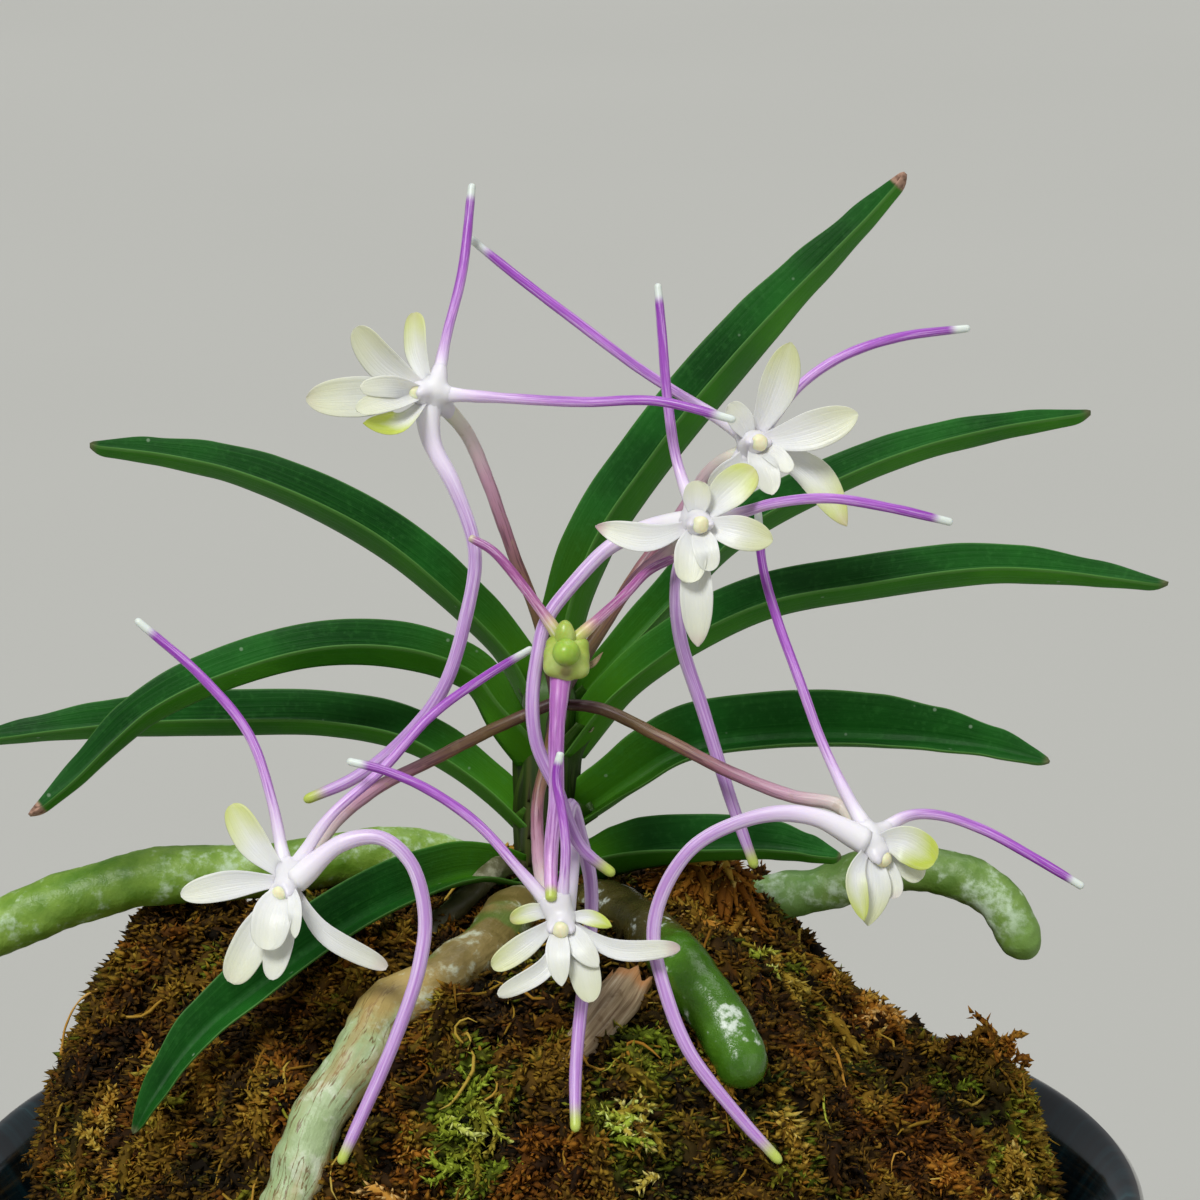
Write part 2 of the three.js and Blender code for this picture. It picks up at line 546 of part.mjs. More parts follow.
// Moss fills the pot and mounds above it, highest in front and falling away behind the plant and
// to its right. Its skin is lifted by a sum of waves into clumps, and by a few heaps.
const MOSS_OUTLINE = [
  [FOOT_RADIUS - 7, FLOOR_THICKNESS + GAP], [FOOT_RADIUS + 2.4, 23], [FOOT_RADIUS + 8.4, 43],
  [MOSS_RADIUS - 2.2, POT_HEIGHT - 15.5], [MOSS_RADIUS - 0.3, POT_HEIGHT - 8],
];
const BACK_DROP = 10;
const RIGHT_DROP = 12;
const HEAPS = [
  { x: 16.5, y: -2, radius: 7.5, height: 6 },
  { x: -49, y: 1, radius: 16, height: 10.5 },
  { x: 50, y: -4, radius: 9, height: 9 },
  { x: 10, y: -44, radius: 10, height: 2 },
];
const CLUMP_HEIGHT = 1.6;
const CLUMP_SPREAD = 0.35; // how far a clump swells sideways for its height
const MOSS_RINGS = [1.005, 0.97, 0.91, 0.83, 0.74, 0.64, 0.54, 0.43, 0.32, 0.2, 0.08];

function clump(x, y) {
  const coarse = Math.sin(x * 0.31 + 1.3) * Math.cos(y * 0.27 - 0.6) + Math.sin((x + y) * 0.19 + 2.1);
  const fine = Math.sin(x * 0.83 - y * 0.41) * Math.sin(y * 0.77 + x * 0.29 + 0.9);
  return CLUMP_HEIGHT * (0.7 * coarse + 0.8 * fine);
}

function moundHeight(x, y) {
  const share = Math.min(1, Math.hypot(x, y) / MOSS_RADIUS);
  const behind = BACK_DROP * THREE.MathUtils.smoothstep(y, 2, 30);
  const right = RIGHT_DROP * THREE.MathUtils.smoothstep(x, 18, 40);
  const heaps = HEAPS.map((heap) => {
    const reach = Math.min(1, Math.hypot(x - heap.x, y - heap.y) / heap.radius);
    return heap.height * (1 - reach * reach) ** 2;
  });
  const heap = heaps.reduce((sum, height) => sum + height);
  return (MOSS_HEIGHT - behind - right) * (1 - share ** 4) + heap;
}

function mossRing(radius, height, swell) {
  const ring = [];
  for (let side = 0; side < MOSS_SIDES; side += 1) {
    const angle = (side / MOSS_SIDES) * 2 * Math.PI;
    const x = radius * Math.cos(angle);
    const y = radius * Math.sin(angle);
    const lift = swell * clump(x, y);
    const reach = 1 + (CLUMP_SPREAD * lift * radius) / (MOSS_RADIUS * MOSS_RADIUS);
    const top = swell * moundHeight(x, y);
    ring.push(new THREE.Vector3(x * reach, y * reach, height + top + lift));
  }
  return ring;
}

function mossMound() {
  const rings = MOSS_OUTLINE.map(([radius, height]) => mossRing(radius, height, 0));
  MOSS_RINGS.forEach((share) => rings.push(mossRing(share * MOSS_RADIUS, POT_HEIGHT, 1)));
  return skin(rings);
}

addMesh('moss_mound', MOSS, cutClear(mossMound()));
addMesh('pot', GLAZE, pot);

export default orchid;
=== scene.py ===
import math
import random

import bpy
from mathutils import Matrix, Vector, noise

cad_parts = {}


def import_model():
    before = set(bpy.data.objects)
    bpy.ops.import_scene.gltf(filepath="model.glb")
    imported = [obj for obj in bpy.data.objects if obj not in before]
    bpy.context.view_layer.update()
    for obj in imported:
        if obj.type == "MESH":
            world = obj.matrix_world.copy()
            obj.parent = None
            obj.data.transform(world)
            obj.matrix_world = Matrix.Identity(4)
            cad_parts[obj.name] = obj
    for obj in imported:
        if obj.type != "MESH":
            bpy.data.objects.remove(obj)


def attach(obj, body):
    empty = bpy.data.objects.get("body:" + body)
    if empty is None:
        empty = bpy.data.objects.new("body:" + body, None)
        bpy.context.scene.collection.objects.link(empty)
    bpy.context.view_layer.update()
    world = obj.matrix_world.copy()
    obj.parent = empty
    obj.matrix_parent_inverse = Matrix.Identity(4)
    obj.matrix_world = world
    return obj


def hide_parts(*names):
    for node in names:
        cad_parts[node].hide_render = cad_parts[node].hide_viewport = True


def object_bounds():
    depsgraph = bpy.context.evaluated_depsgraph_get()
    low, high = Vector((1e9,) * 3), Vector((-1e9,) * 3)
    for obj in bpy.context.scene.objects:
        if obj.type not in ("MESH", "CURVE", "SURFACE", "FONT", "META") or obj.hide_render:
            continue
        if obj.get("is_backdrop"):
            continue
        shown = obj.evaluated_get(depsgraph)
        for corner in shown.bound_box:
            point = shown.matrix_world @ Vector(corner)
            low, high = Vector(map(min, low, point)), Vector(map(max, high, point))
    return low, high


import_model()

# Wind orchid (Vanda falcata, a pink three-spurred form) on a mound of moss in a wide glazed pot.
# Lengths are in millimetres and become metres where points are made. The plant is laid out in its
# blooming face, as the solids are: u runs right, v up and w out of the face.

cad_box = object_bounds()

MM = 0.001
POT_HEIGHT = 76.5
RIM_RADIUS = 67
FOOT_RADIUS = 40
FLOOR_THICKNESS = 7
MOSS_RADIUS = 56.5
MOSS_HEIGHT = 34.5

FACE_LEAN = math.radians(15)
FACE_ORIGIN = Vector((6, -21.5, POT_HEIGHT + 73))

LEAF_THICKNESS = 1
LEAF_EDGE = 0.65
LEAF_SINK = 0.5  # how far the groove lies below the leaf's line, as a share of its fold
TEPAL_THICKNESS = 0.75
SIDE_SPUR_RADIUS = 0.54
MAIN_SPUR_RADIUS = 0.74
PEDICEL_RADIUS = 0.66
STALK_RADIUS = 1.0
HEART_RADIUS = 1.7

CAMERA_DISTANCE = 500
VIEW_WIDTH = 125  # of the photographed field, in the plane of the blooms
SENSOR_WIDTH = 36
FLOOR_WIDTH = 24.0  # in metres


# ---------------------------------------------------------------- camera, floor and light


def at(place):
    """A point of the blooming face, in metres in the frame."""
    u, v, w = place
    up = math.sin(FACE_LEAN)
    out = math.cos(FACE_LEAN)
    return (Vector((u, v * up - w * out, v * out + w * up)) + FACE_ORIGIN) * MM


def facing(direction):
    return (at(direction) - at((0, 0, 0))).normalized()


def world(place):
    return Vector(place) * MM


def laid(line, put=at):
    return [put(place) for place in line]


def add_object(name, data):
    made = bpy.data.objects.new(name, data)
    bpy.context.scene.collection.objects.link(made)
    return made


def add_mesh(name, points, faces, *paints):
    mesh = bpy.data.meshes.new(name)
    mesh.from_pydata(points, [], faces)
    for paint in paints:
        mesh.materials.append(paint)
    return add_object(name, mesh)


def add_camera():
    data = bpy.data.cameras.new("camera")
    data.sensor_width = SENSOR_WIDTH
    data.lens = SENSOR_WIDTH * CAMERA_DISTANCE / VIEW_WIDTH
    data.clip_start = 0.01
    camera = add_object("camera", data)
    camera.location = at((0, 0, CAMERA_DISTANCE))
    camera.rotation_euler = (math.pi / 2 - FACE_LEAN, 0, 0)
    bpy.context.scene.camera = camera


def add_sun(name, towards, angle, power):
    """A soft light so far away that it falls evenly over the whole floor."""
    data = bpy.data.lights.new(name, "SUN")
    data.angle = angle
    data.energy = power
    add_object(name, data).rotation_euler = Vector(towards).to_track_quat("Z", "Y").to_euler()


def add_stage():
    bpy.context.scene.view_settings.view_transform = "Standard"
    add_sun("key", (-0.35, -0.6, 0.85), 0.35, 2.5)
    add_sun("fill", (0.8, -0.6, 0.4), 0.9, 0.5)
    add_sun("top", (0.15, 0.4, 1.0), 0.6, 0.9)
    sky = bpy.data.worlds.new("sky")
    sky.use_nodes = True
    background = sky.node_tree.nodes["Background"].inputs
    background["Color"].default_value = (0.92, 0.95, 1, 1)
    background["Strength"].default_value = 0.2
    bpy.context.scene.world = sky
    paint = Paint("floor", Roughness=0.95, Specular_IOR_Level=0.2)
    paint.put(Base_Color=paint.mix(paint.noise(3, detail=2), "b0b0aa", "b5b5af"))
    half = FLOOR_WIDTH / 2
    corners = [(-half, -half, 0), (half, -half, 0), (half, half, 0), (-half, half, 0)]
    floor = add_mesh("floor", corners, [(0, 1, 2, 3)], paint.material)
    floor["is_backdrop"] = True


# ---------------------------------------------------------------- paint


def rgb(code):
    """The linear colour of a six-digit sRGB code."""
    channels = [int(code[place:place + 2], 16) / 255 for place in (0, 2, 4)]
    linear = [c / 12.92 if c <= 0.04045 else ((c + 0.055) / 1.055) ** 2.4 for c in channels]
    return (*linear, 1)


class Paint:
    """A material, built a node at a time. Its body is the colour so far. Keywords set sockets of
    its shader. Where a colour is wanted, a six-digit code will do."""

    def __init__(self, name, **shader):
        self.material = bpy.data.materials.new(name)
        self.material.use_nodes = True
        self.tree = self.material.node_tree
        self.shader = self.tree.nodes["Principled BSDF"]
        self.body = None
        self.put(**shader)

    def put(self, **sockets):
        for name, value in sockets.items():
            self.feed(self.shader.inputs[name.replace("_", " ")], value)

    def feed(self, socket, value):
        if isinstance(value, bpy.types.NodeSocket):
            self.tree.links.new(value, socket)
        else:
            socket.default_value = rgb(value) if isinstance(value, str) else value

    def add(self, kind, inputs, output, **settings):
        node = self.tree.nodes.new(kind)
        for name, value in settings.items():
            setattr(node, name, value)
        for name, value in inputs.items():
            self.feed(node.inputs[name], value)
        return node.outputs[output]

    def mark(self, name, output="Fac"):
        """A value that the mesh carries at its points."""
        return self.add("ShaderNodeAttribute", {}, output, attribute_name=name)

    def part(self, axis):
        """Where a point is on its body: X and Y across or around it, Z from 0 to 1 along it."""
        return self.add("ShaderNodeSeparateXYZ", {"Vector": self.mark("grain", "Vector")}, axis)

    def math(self, operation, *values):
        return self.add("ShaderNodeMath", dict(enumerate(values)), "Value", operation=operation)

    def times(self, first, second):
        return self.math("MULTIPLY", first, second)

    def plus(self, first, second, share=1.0):
        return self.math("MULTIPLY_ADD", second, share, first)

    def swayed(self, value, cloud, size):
        """The value, pushed up and down by cloudy noise."""
        return self.plus(value, self.math("SUBTRACT", cloud, 0.5), size)

    def away(self, value, middle=0.0):
        """How far the value is from the middle."""
        return self.math("ABSOLUTE", self.math("SUBTRACT", value, middle))

    def noise(self, scale, detail=4, roughness=0.55):
        """Cloudy noise, with so many features per metre or, given three numbers, along the grain."""
        if isinstance(scale, tuple):
            stretch = {0: self.mark("grain", "Vector"), 1: scale}
            vector = self.add("ShaderNodeVectorMath", stretch, "Vector", operation="MULTIPLY")
            scale = 1
        else:
            vector = self.add("ShaderNodeTexCoord", {}, "Object")
        inputs = {"Vector": vector, "Scale": scale, "Detail": detail, "Roughness": roughness}
        return self.add("ShaderNodeTexNoise", inputs, "Fac")

    def ramp(self, factor, *stops):
        node = self.tree.nodes.new("ShaderNodeValToRGB")
        self.feed(node.inputs["Fac"], factor)
        elements = node.color_ramp.elements
        elements.remove(elements[1])
        elements[0].position = stops[0][0]
        elements[0].color = rgb(stops[0][1])
        for position, code in stops[1:]:
            elements.new(position).color = rgb(code)
        return node.outputs["Color"]

    def span(self, value, low, high, start=0.0, end=1.0):
        """Smoothly maps low to high onto start to end."""
        inputs = {"Value": value, "From Min": low, "From Max": high, "To Min": start, "To Max": end}
        return self.add("ShaderNodeMapRange", inputs, "Result", interpolation_type="SMOOTHSTEP")

    def mix(self, factor, first, second):
        return self.add("ShaderNodeMix", {0: factor, 6: first, 7: second}, 2, data_type="RGBA")

    def over(self, colour, value, low, high, most=1.0, mask=None):
        """Lays a colour over the body as the value goes from low to high."""
        factor = self.span(value, low, high, 0, most)
        if mask is not None:
            factor = self.times(factor, mask)
        self.body = self.mix(factor, self.body, colour)

    def finish(self, height, depth, strength=0.5):
        """Sets the colour and a relief of so many millimetres, and returns the material."""
        inputs = {"Height": height, "Distance": depth * MM, "Strength": strength}
        self.put(Base_Color=self.body, Normal=self.add("ShaderNodeBump", inputs, "Normal"))
        return self.material


FLESH_RADIUS = (1.0, 0.9, 0.6)  # how far red, green and blue light spread in it


def fleshy(name, roughness, glow, depth=1.0, **shader):
    """The paint of something that light goes into, to a depth in millimetres."""
    return Paint(
        name, Roughness=roughness, Subsurface_Weight=glow, Subsurface_Scale=depth * MM, **shader
    )


def petal_paint():
    """Waxy white, greener towards the tip and the margins, with a rosy point on some."""
    paint = fleshy("petal", 0.4, 0.3, depth=1.5, Subsurface_Radius=FLESH_RADIUS)
    along = paint.part("Z")
    paint.body = paint.mix(paint.span(along, 0.4, 1), "e7e8e4", "e3e5d3")
    paint.over("dccfe4", along, 0.3, 0.02, 0.5)
    reach = paint.plus(along, paint.away(paint.part("X")), 0.28)
    reach = paint.plus(reach, paint.noise(260, detail=3), 0.3)
    tone = paint.mark("tone")
    fresh = paint.mix(paint.span(tone, 0.7, 1.3), "cfd292", "c3d254")
    paint.over(fresh, reach, 0.6, 1.4, mask=tone)
    paint.over("bb9098", along, 0.84, 0.99, mask=paint.mark("accent"))
    veins = paint.noise((9, 0.6, 1.6), detail=3)
    paint.over("c9ccb8", veins, 0.5, 0.7, 0.12)
    return paint.finish(paint.plus(veins, paint.noise(2600, detail=2), 0.35), 0.12)


def anther_paint():
    paint = fleshy("anther_cap", 0.4, 0.25)
    patch = paint.noise(900, detail=2)
    paint.body = paint.ramp(patch, (0.35, "f2ecc9"), (0.6, "eae2b4"), (0.75, "dccd94"))
    return paint.finish(patch, 0.08)


def spur_paint(name, shades, deep, tip, turn):
    """Pale at the bloom, then violet in fine streaks, with pale streaks that are partly painted
    highlight; past the turn the tip is another colour.
    """
    paint = fleshy(name, 0.36, 0.25, Subsurface_Radius=FLESH_RADIUS)
    along = paint.part("Z")
    place = paint.swayed(along, paint.noise(120, detail=2), 0.12)
    broad = paint.noise((1.1, 1.1, 1.6), detail=2)
    fine = paint.noise((3.4, 3.4, 5), roughness=0.7)
    streak = paint.plus(paint.times(broad, 0.4), fine, 0.6)
    paint.body = paint.ramp(place, *shades)
    paint.over(deep, streak, 0.46, 0.6, 0.6, mask=paint.span(place, 0.08, 0.3))
    # Pale streaks along the spur: partly its own pale lines, partly painted highlight.
    paint.over("f3e8f8", streak, 0.5, 0.38, 0.38)
    paint.over(tip, along, turn - 0.035, turn + 0.015)
    return paint.finish(fine, 0.06)


SIDE_SPUR = ((0.07, "efeaf2"), (0.16, "e1cbeb"), (0.3, "cf9de0"), (0.55, "b870cf"), (0.78, "a24cbd"),
             (0.92, "9136ac"))
MAIN_SPUR = ((0.02, "f2f0f2"), (0.1, "ebe0f1"), (0.3, "d9c0e6"), (0.6, "caa5da"), (0.88, "bc90cf"))
BUD_SPUR = ((0.06, "b9c65a"), (0.15, "d6bf92"), (0.24, "c284a8"), (0.5, "b1629f"), (0.85, "9a5292"))
BUD_MAIN_SPUR = ((0.02, "b56ab8"), (0.3, "be78c6"), (0.55, "c899d6"), (0.88, "cf96cf"))
PEDICEL = ((0.03, "e3e3cb"), (0.14, "d6c8c2"), (0.28, "bd93a6"), (0.46, "9c6a7c"), (0.6, "82604a"),
           (0.76, "6e5630"), (0.9, "4c3026"), (1.0, "231712"))


def pedicel_paint():
    """Cream under the bloom, mauve on the way, olive-brown near the stalk and dark on it."""
    paint = fleshy("pedicel", 0.42, 0.1)
    along = paint.part("Z")
    streak = paint.noise((3, 3, 7), detail=3)
    paint.body = paint.ramp(along, *PEDICEL)
    paint.over("4f2433", streak, 0.5, 0.62, 0.6, mask=paint.span(along, 0.1, 0.4))
    paint.over("a8926a", paint.noise(700), 0.6, 0.75, 0.35)
    return paint.finish(streak, 0.1)


def leaf_paint():
    """Dark on the upper side, yellower under it and at the foot, with a pale margin. The under side is
    painted lighter than the upper partly as its own paler green and partly as painted light through the
    leaf.
    """
    paint = Paint("leaf", Specular_IOR_Level=0.18)
    along = paint.part("Z")
    above = paint.span(paint.part("Y"), -0.3, 0.3)
    cloud = paint.noise(90, detail=5)
    veins = paint.noise((11, 0.3, 1.6), roughness=0.7)
    stipple = paint.noise(1500, detail=2)
    points = {"Vector": paint.add("ShaderNodeTexCoord", {}, "Object"), "Scale": 260}
    specks = paint.add("ShaderNodeTexVoronoi", points, "Distance")
    # The two sides differ partly in their own colour and partly by painted light: the under side is
    # painted brighter, as if lit through the leaf, and the upper side darker, as painted shade.
    under = paint.ramp(cloud, (0.3, "276e0c"), (0.5, "367f10"), (0.7, "46921a"))
    upper = paint.ramp(cloud, (0.3, "0b3f0e"), (0.5, "135012"), (0.7, "1e661c"))
    paint.body = paint.mix(above, under, upper)
    paint.over("4c8c10", paint.swayed(along, cloud, 0.2), 0.36, 0.02, 0.8)
    paint.over("357a2c", veins, 0.5, 0.75, 0.25)
    paint.over("448a3e", stipple, 0.5, 0.75, 0.16)
    paint.over("5f8f45", paint.away(paint.part("X")), 0.92, 0.99, 0.6)
    paint.over("a9c0a4", specks, 0.07, 0.03, 0.4)
    paint.over("6a6a4a", along, 0.982, 0.997, 0.8)
    dry = paint.ramp(stipple, (0.35, "6e5140"), (0.6, "b8937e"))
    paint.over(dry, along, 0.972, 0.98, mask=paint.mark("accent"))
    gloss = paint.span(above, 0, 1, 0.6, 0.46)
    paint.put(Roughness=paint.plus(gloss, paint.span(cloud, 0.3, 0.7, 0, 0.12)))
    return paint.finish(paint.plus(veins, stipple, 0.25), 0.12, 0.6)


def sheath_paint():
    """Leaf sheaths round the stem: dark olive, browner at the foot, with thin pale margins."""
    paint = Paint("sheath", Roughness=0.5)
    along = paint.part("Z")
    fibre = paint.noise((9, 3, 1.2))
    paint.body = paint.ramp(fibre, (0.3, "16200a"), (0.52, "26360c"), (0.72, "3d5216"))
    paint.over("3f6a16", along, 0.6, 1.0, 0.8)
    paint.over("565528", paint.away(paint.part("X")), 0.97, 0.995, 0.45)
    paint.over("2c200f", paint.plus(along, fibre, 0.3), 0.42, 0.15, 0.85)
    paint.body = paint.mix(paint.mark("accent"), paint.body, "8f9468")
    return paint.finish(fibre, 0.2, 0.7)


def root_paint(name, first, then, turn, silver, cover, crack=0.0, gloss=0.42):
    """Velamen: two shades before the turn and two after it, under silvery blotches. Where it is
    cracked it has dried tan at the turn, with wavy brown lines along it, and is green in patches."""
    paint = Paint(f"root_{name}")
    along = paint.part("Z")
    patch = paint.noise(170, detail=5, roughness=0.6)
    fleck = paint.noise(560, roughness=0.65)
    wavy = paint.noise((2.6, 2.6, 9), roughness=0.6)
    stain = paint.noise((1, 1, 5), detail=3)
    place = paint.swayed(along, patch, 0.3)
    near, far = [paint.ramp(patch, (0.3, dark), (0.7, light)) for dark, light in (first, then)]
    paint.body = near
    paint.over("567a2a", paint.noise(70, detail=3), 0.5, 0.56, 0.8 * crack)
    paint.over(far, place, turn - 0.05, turn + 0.05)
    paint.over("ab9150", paint.away(place, turn + 0.02), 0.1, 0.02, crack)
    skin = paint.times(paint.plus(patch, fleck), 0.55)
    paint.over(silver, skin, 0.62 - cover * 0.1, 0.7, 0.8)
    aged = paint.times(paint.span(stain, 0.4, 0.52), paint.span(along, turn - 0.1, turn + 0.1))
    paint.over("6b5226", paint.away(wavy, 0.5), 0.03, 0.006, crack, mask=aged)
    paint.over("a98a52", stain, 0.5, 0.66, 0.65 * crack, mask=aged)
    paint.over("6c8f3c", along, 0.88, 0.98, mask=paint.mark("accent"))
    paint.put(Roughness=paint.span(skin, 0.45, 0.7, gloss, gloss + 0.2))
    return paint.finish(paint.plus(fleck, wavy, crack), 0.35, 0.6)


def husk_paint():
    paint = Paint("husk", Roughness=0.8)
    fibre = paint.noise((7, 2, 1.6), roughness=0.65)
    paint.body = paint.ramp(fibre, (0.3, "7a6244"), (0.5, "ad9674"), (0.7, "d2c1a4"))
    paint.over("6a4f2c", paint.noise(400, detail=3), 0.56, 0.7, 0.6)
    paint.over("b9804a", paint.part("Z"), 0.16, 0.03, 0.85)
    return paint.finish(fibre, 0.3, 0.8)


# The moss from the painted shade of its creases to its tips, where it is straw-coloured, fresh green or
# rusty.
MOSS_STOPS = (0.0, 0.18, 0.4, 0.6, 0.8, 0.97)
MOSS_SHADES = (
    ("130c03", "38260a", "6e5114", "967724", "b69c42", "d0bf76"),
    ("101304", "2d3309", "596714", "829326", "a5b743", "c9d57c"),
    ("160c03", "3e2408", "784810", "a06a20", "be8a3a", "d4ae6c"),
)


def moss_paint():
    """Moss. The tone of a leaf picks its shade, and its low end is painted shade in the creases; its
    accent runs from rusty, -1, to fresh green, 1.
    """
    paint = Paint("moss", Roughness=0.8, Specular_IOR_Level=0.12)
    fine = paint.noise(1300, detail=3)
    place = paint.swayed(paint.mark("tone"), fine, 0.16)
    place = paint.plus(place, paint.span(paint.part("Z"), 0.3, 1.0, 0, 0.1))
    accent = paint.mark("accent")
    paint.body, green, rust = [paint.ramp(place, *zip(MOSS_STOPS, codes)) for codes in MOSS_SHADES]
    paint.over(green, accent, 0.15, 0.85)
    paint.over(rust, accent, -0.15, -0.85)
    return paint.finish(fine, 0.2, 0.6)


def glaze_paint():
    """A near-black blue-green glaze that ran in streaks and thinned to brown at the lip."""
    paint = Paint("glaze", Roughness=0.12, Coat_Weight=0.5, Coat_Roughness=0.05)
    run = paint.noise((17, 17, 1.1), detail=5, roughness=0.6)
    paint.body = paint.ramp(run, (0.32, "04090b"), (0.5, "071418"), (0.66, "10282d"), (0.8, "32565a"))
    paint.over("050f14", paint.noise(26), 0.5, 0.7, 0.5)
    paint.over("33281c", paint.mark("accent"), 0.2, 1.0, 0.75)
    return paint.finish(paint.noise(60, detail=2), 0.4, 0.35)


def clay_paint():
    paint = Paint("bare_clay", Roughness=0.85)
    grit = paint.noise(1400, detail=3)
    paint.body = paint.ramp(grit, (0.35, "5a4636"), (0.65, "7b6450"))
    return paint.finish(grit, 0.2, 0.6)


def bud_paint():
    paint = fleshy("bud", 0.34, 0.2)
    cloud = paint.noise(420, detail=3)
    paint.body = paint.ramp(cloud, (0.3, "93a63c"), (0.5, "abbc56"), (0.7, "c2cf7c"))
    lime = paint.ramp(cloud, (0.3, "8cb030"), (0.7, "a6c94c"))
    paint.body = paint.mix(paint.mark("tone"), paint.body, lime)
    # The accent lays painted shade, in brown, under the front cap and in the crease below it.
    paint.body = paint.mix(paint.mark("accent"), paint.body, "6e5d38")
    return paint.finish(cloud, 0.1)


# ---------------------------------------------------------------- curves and bodies


def mixed(first, second, share):
    return first + (second - first) * share


def eased(low, high, value):
    """Rises smoothly from 0 at low to 1 at high."""
    share = min(1.0, max(0.0, (value - low) / (high - low)))
    return share * share * (3 - 2 * share)


def evenly(count):
    return [step / count for step in range(count + 1)]


def denser_at_end(count):
    return [math.sin(0.5 * math.pi * step / count) for step in range(count + 1)]


def sampled(samples, share):
    """Reads evenly spaced samples, rounding off the corners between them."""
    place = share * (len(samples) - 1)
    below = min(int(place), len(samples) - 2)
    return mixed(samples[below], samples[below + 1], eased(0, 1, place - below))


def bend(a, b, c, d, share):
    """A point between b and c on the centripetal Catmull-Rom curve through four points."""
    t1 = (b - a).length ** 0.5
    t2 = t1 + (c - b).length ** 0.5
    t3 = t2 + (d - c).length ** 0.5
    t = mixed(t1, t2, share)
    ab = a.lerp(b, t / t1)
    bc = b.lerp(c, (t - t1) / (t2 - t1))
    cd = c.lerp(d, (t - t2) / (t3 - t2))
    return ab.lerp(bc, t / t2).lerp(bc.lerp(cd, (t - t1) / (t3 - t1)), (t - t1) / (t2 - t1))


def spline(points, shares):
    """Points at shares of the length of a smooth curve through the given points."""
    fine = evenly(24)[1:]
    ends = [2 * points[0] - points[1], *points, 2 * points[-1] - points[-2]]
    dense = [points[0]]
    for four in zip(ends, ends[1:], ends[2:], ends[3:]):
        dense.extend(bend(*four, share) for share in fine)
    lengths = [0.0]
    for here, there in zip(dense, dense[1:]):
        lengths.append(lengths[-1] + (there - here).length)
    path = []
    index = 0
    for share in shares:
        goal = lengths[-1] * share
        while index < len(dense) - 2 and lengths[index + 1] < goal:
            index += 1
        step = (goal - lengths[index]) / (lengths[index + 1] - lengths[index])
        path.append(dense[index].lerp(dense[index + 1], step))
    return path


def directions(path):
    ahead = path[1:] + [2 * path[-1] - path[-2]]
    behind = [2 * path[0] - path[1]] + path[:-1]
    return [(there - here).normalized() for there, here in zip(ahead, behind)]


def frames_along(path, upper=None):
    """A side and an up direction at each point, untwisted, or with up kept towards upper."""
    frames = []
    side = None
    for direction in directions(path):
        if upper is not None:
            side = upper.cross(direction).normalized()
        elif side is None:
            side = direction.orthogonal().normalized()
        else:
            side = (side - direction * side.dot(direction)).normalized()
        frames.append((side, direction.cross(side)))
    return frames


class Skin:
    """Closed bodies gathered into one mesh, with values at its points for the paint to read."""

    def __init__(self):
        self.points = []
        self.faces = []
        self.grain = []
        self.tone = []
        self.accent = []
        self.kinds = []

    def loft(self, rings, section, shares, tone=0.0, accent=0.0, kind=0):
        """A closed body through rings of points, each of which goes once round the section."""
        first = len(self.points)
        count = len(section)
        for ring, share in zip(rings, shares):
            self.points.extend(ring)
            self.grain.extend((x, y, share) for x, y in section)
        self.tone.extend([tone] * count * len(rings))
        self.accent.extend([accent] * count * len(rings))
        for start in range(first, first + count * (len(rings) - 1), count):
            for side in range(count):
                a = start + side
                b = start + (side + 1) % count
                self.faces.append((a, b, b + count, a + count))
        last = first + count * (len(rings) - 1)
        self.faces.append(tuple(range(first + count - 1, first - 1, -1)))
        self.faces.append(tuple(range(last, last + count)))
        self.kinds.extend([kind] * (count * (len(rings) - 1) + 2))

    def piece(self, name, paints, slot, *replaced):
        made = add_mesh(name, self.points, self.faces, *paints)
        mesh = made.data
        mesh.polygons.foreach_set("material_index", self.kinds)
        mesh.polygons.foreach_set("use_smooth", [True] * len(self.faces))
        grain = mesh.attributes.new("grain", "FLOAT_VECTOR", "POINT")
        grain.data.foreach_set("vector", [value for point in self.grain for value in point])
        for label, values in (("tone", self.tone), ("accent", self.accent)):
            mesh.attributes.new(label, "FLOAT", "POINT").data.foreach_set("value", values)
        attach(made, "root")
        if replaced:
            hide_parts(*replaced)


def circle(count):
    turns = [2 * math.pi * step / count for step in range(count)]
    return [(math.cos(turn), math.sin(turn)) for turn in turns]


def rod(skin, points, radius_at, shares, sides=14, flat=1.0, rough=None, **marks):
    """A round body along a curve. rough(place) is how far its skin stands out there, in metres."""
    path = spline(points, shares)
    section = circle(sides)
    rings = []
    for share, middle, (side, up) in zip(shares, path, frames_along(path)):
        radius = radius_at(share)
        ring = []
        for x, y in section:
            out = side * x + up * y * flat
            lift = rough(middle + out * radius) if rough else 0.0
            ring.append(middle + out * (radius + lift))
        rings.append(ring)
    skin.loft(rings, section, shares, **marks)


def blade(skin, points, shares, upper, shape, sides=20, sink=0.0, wave=None, **marks):
    """A flat body along a curve. shape(share) gives half its width, the rise of its edges, its
    thickness in the middle and at the edge, and how sharply it folds. sink is how far its middle
    lies below the curve, as a share of that rise."""
    path = spline(points, shares)
    section = circle(sides)
    rings = []
    for share, middle, (side, up) in zip(shares, path, frames_along(path, upper)):
        half, rise, thick, edge, fold = shape(share)
        ring = []
        for x, y in section:
            depth = mixed(thick, edge, abs(x)) / 2
            height = rise * (abs(x) ** fold - sink) - depth + depth * math.copysign(abs(y) ** 0.6, y)
            if wave:
                height += wave(share, x)
            ring.append(middle + side * x * half + up * height)
        rings.append(ring)
    skin.loft(rings, section, shares, **marks)


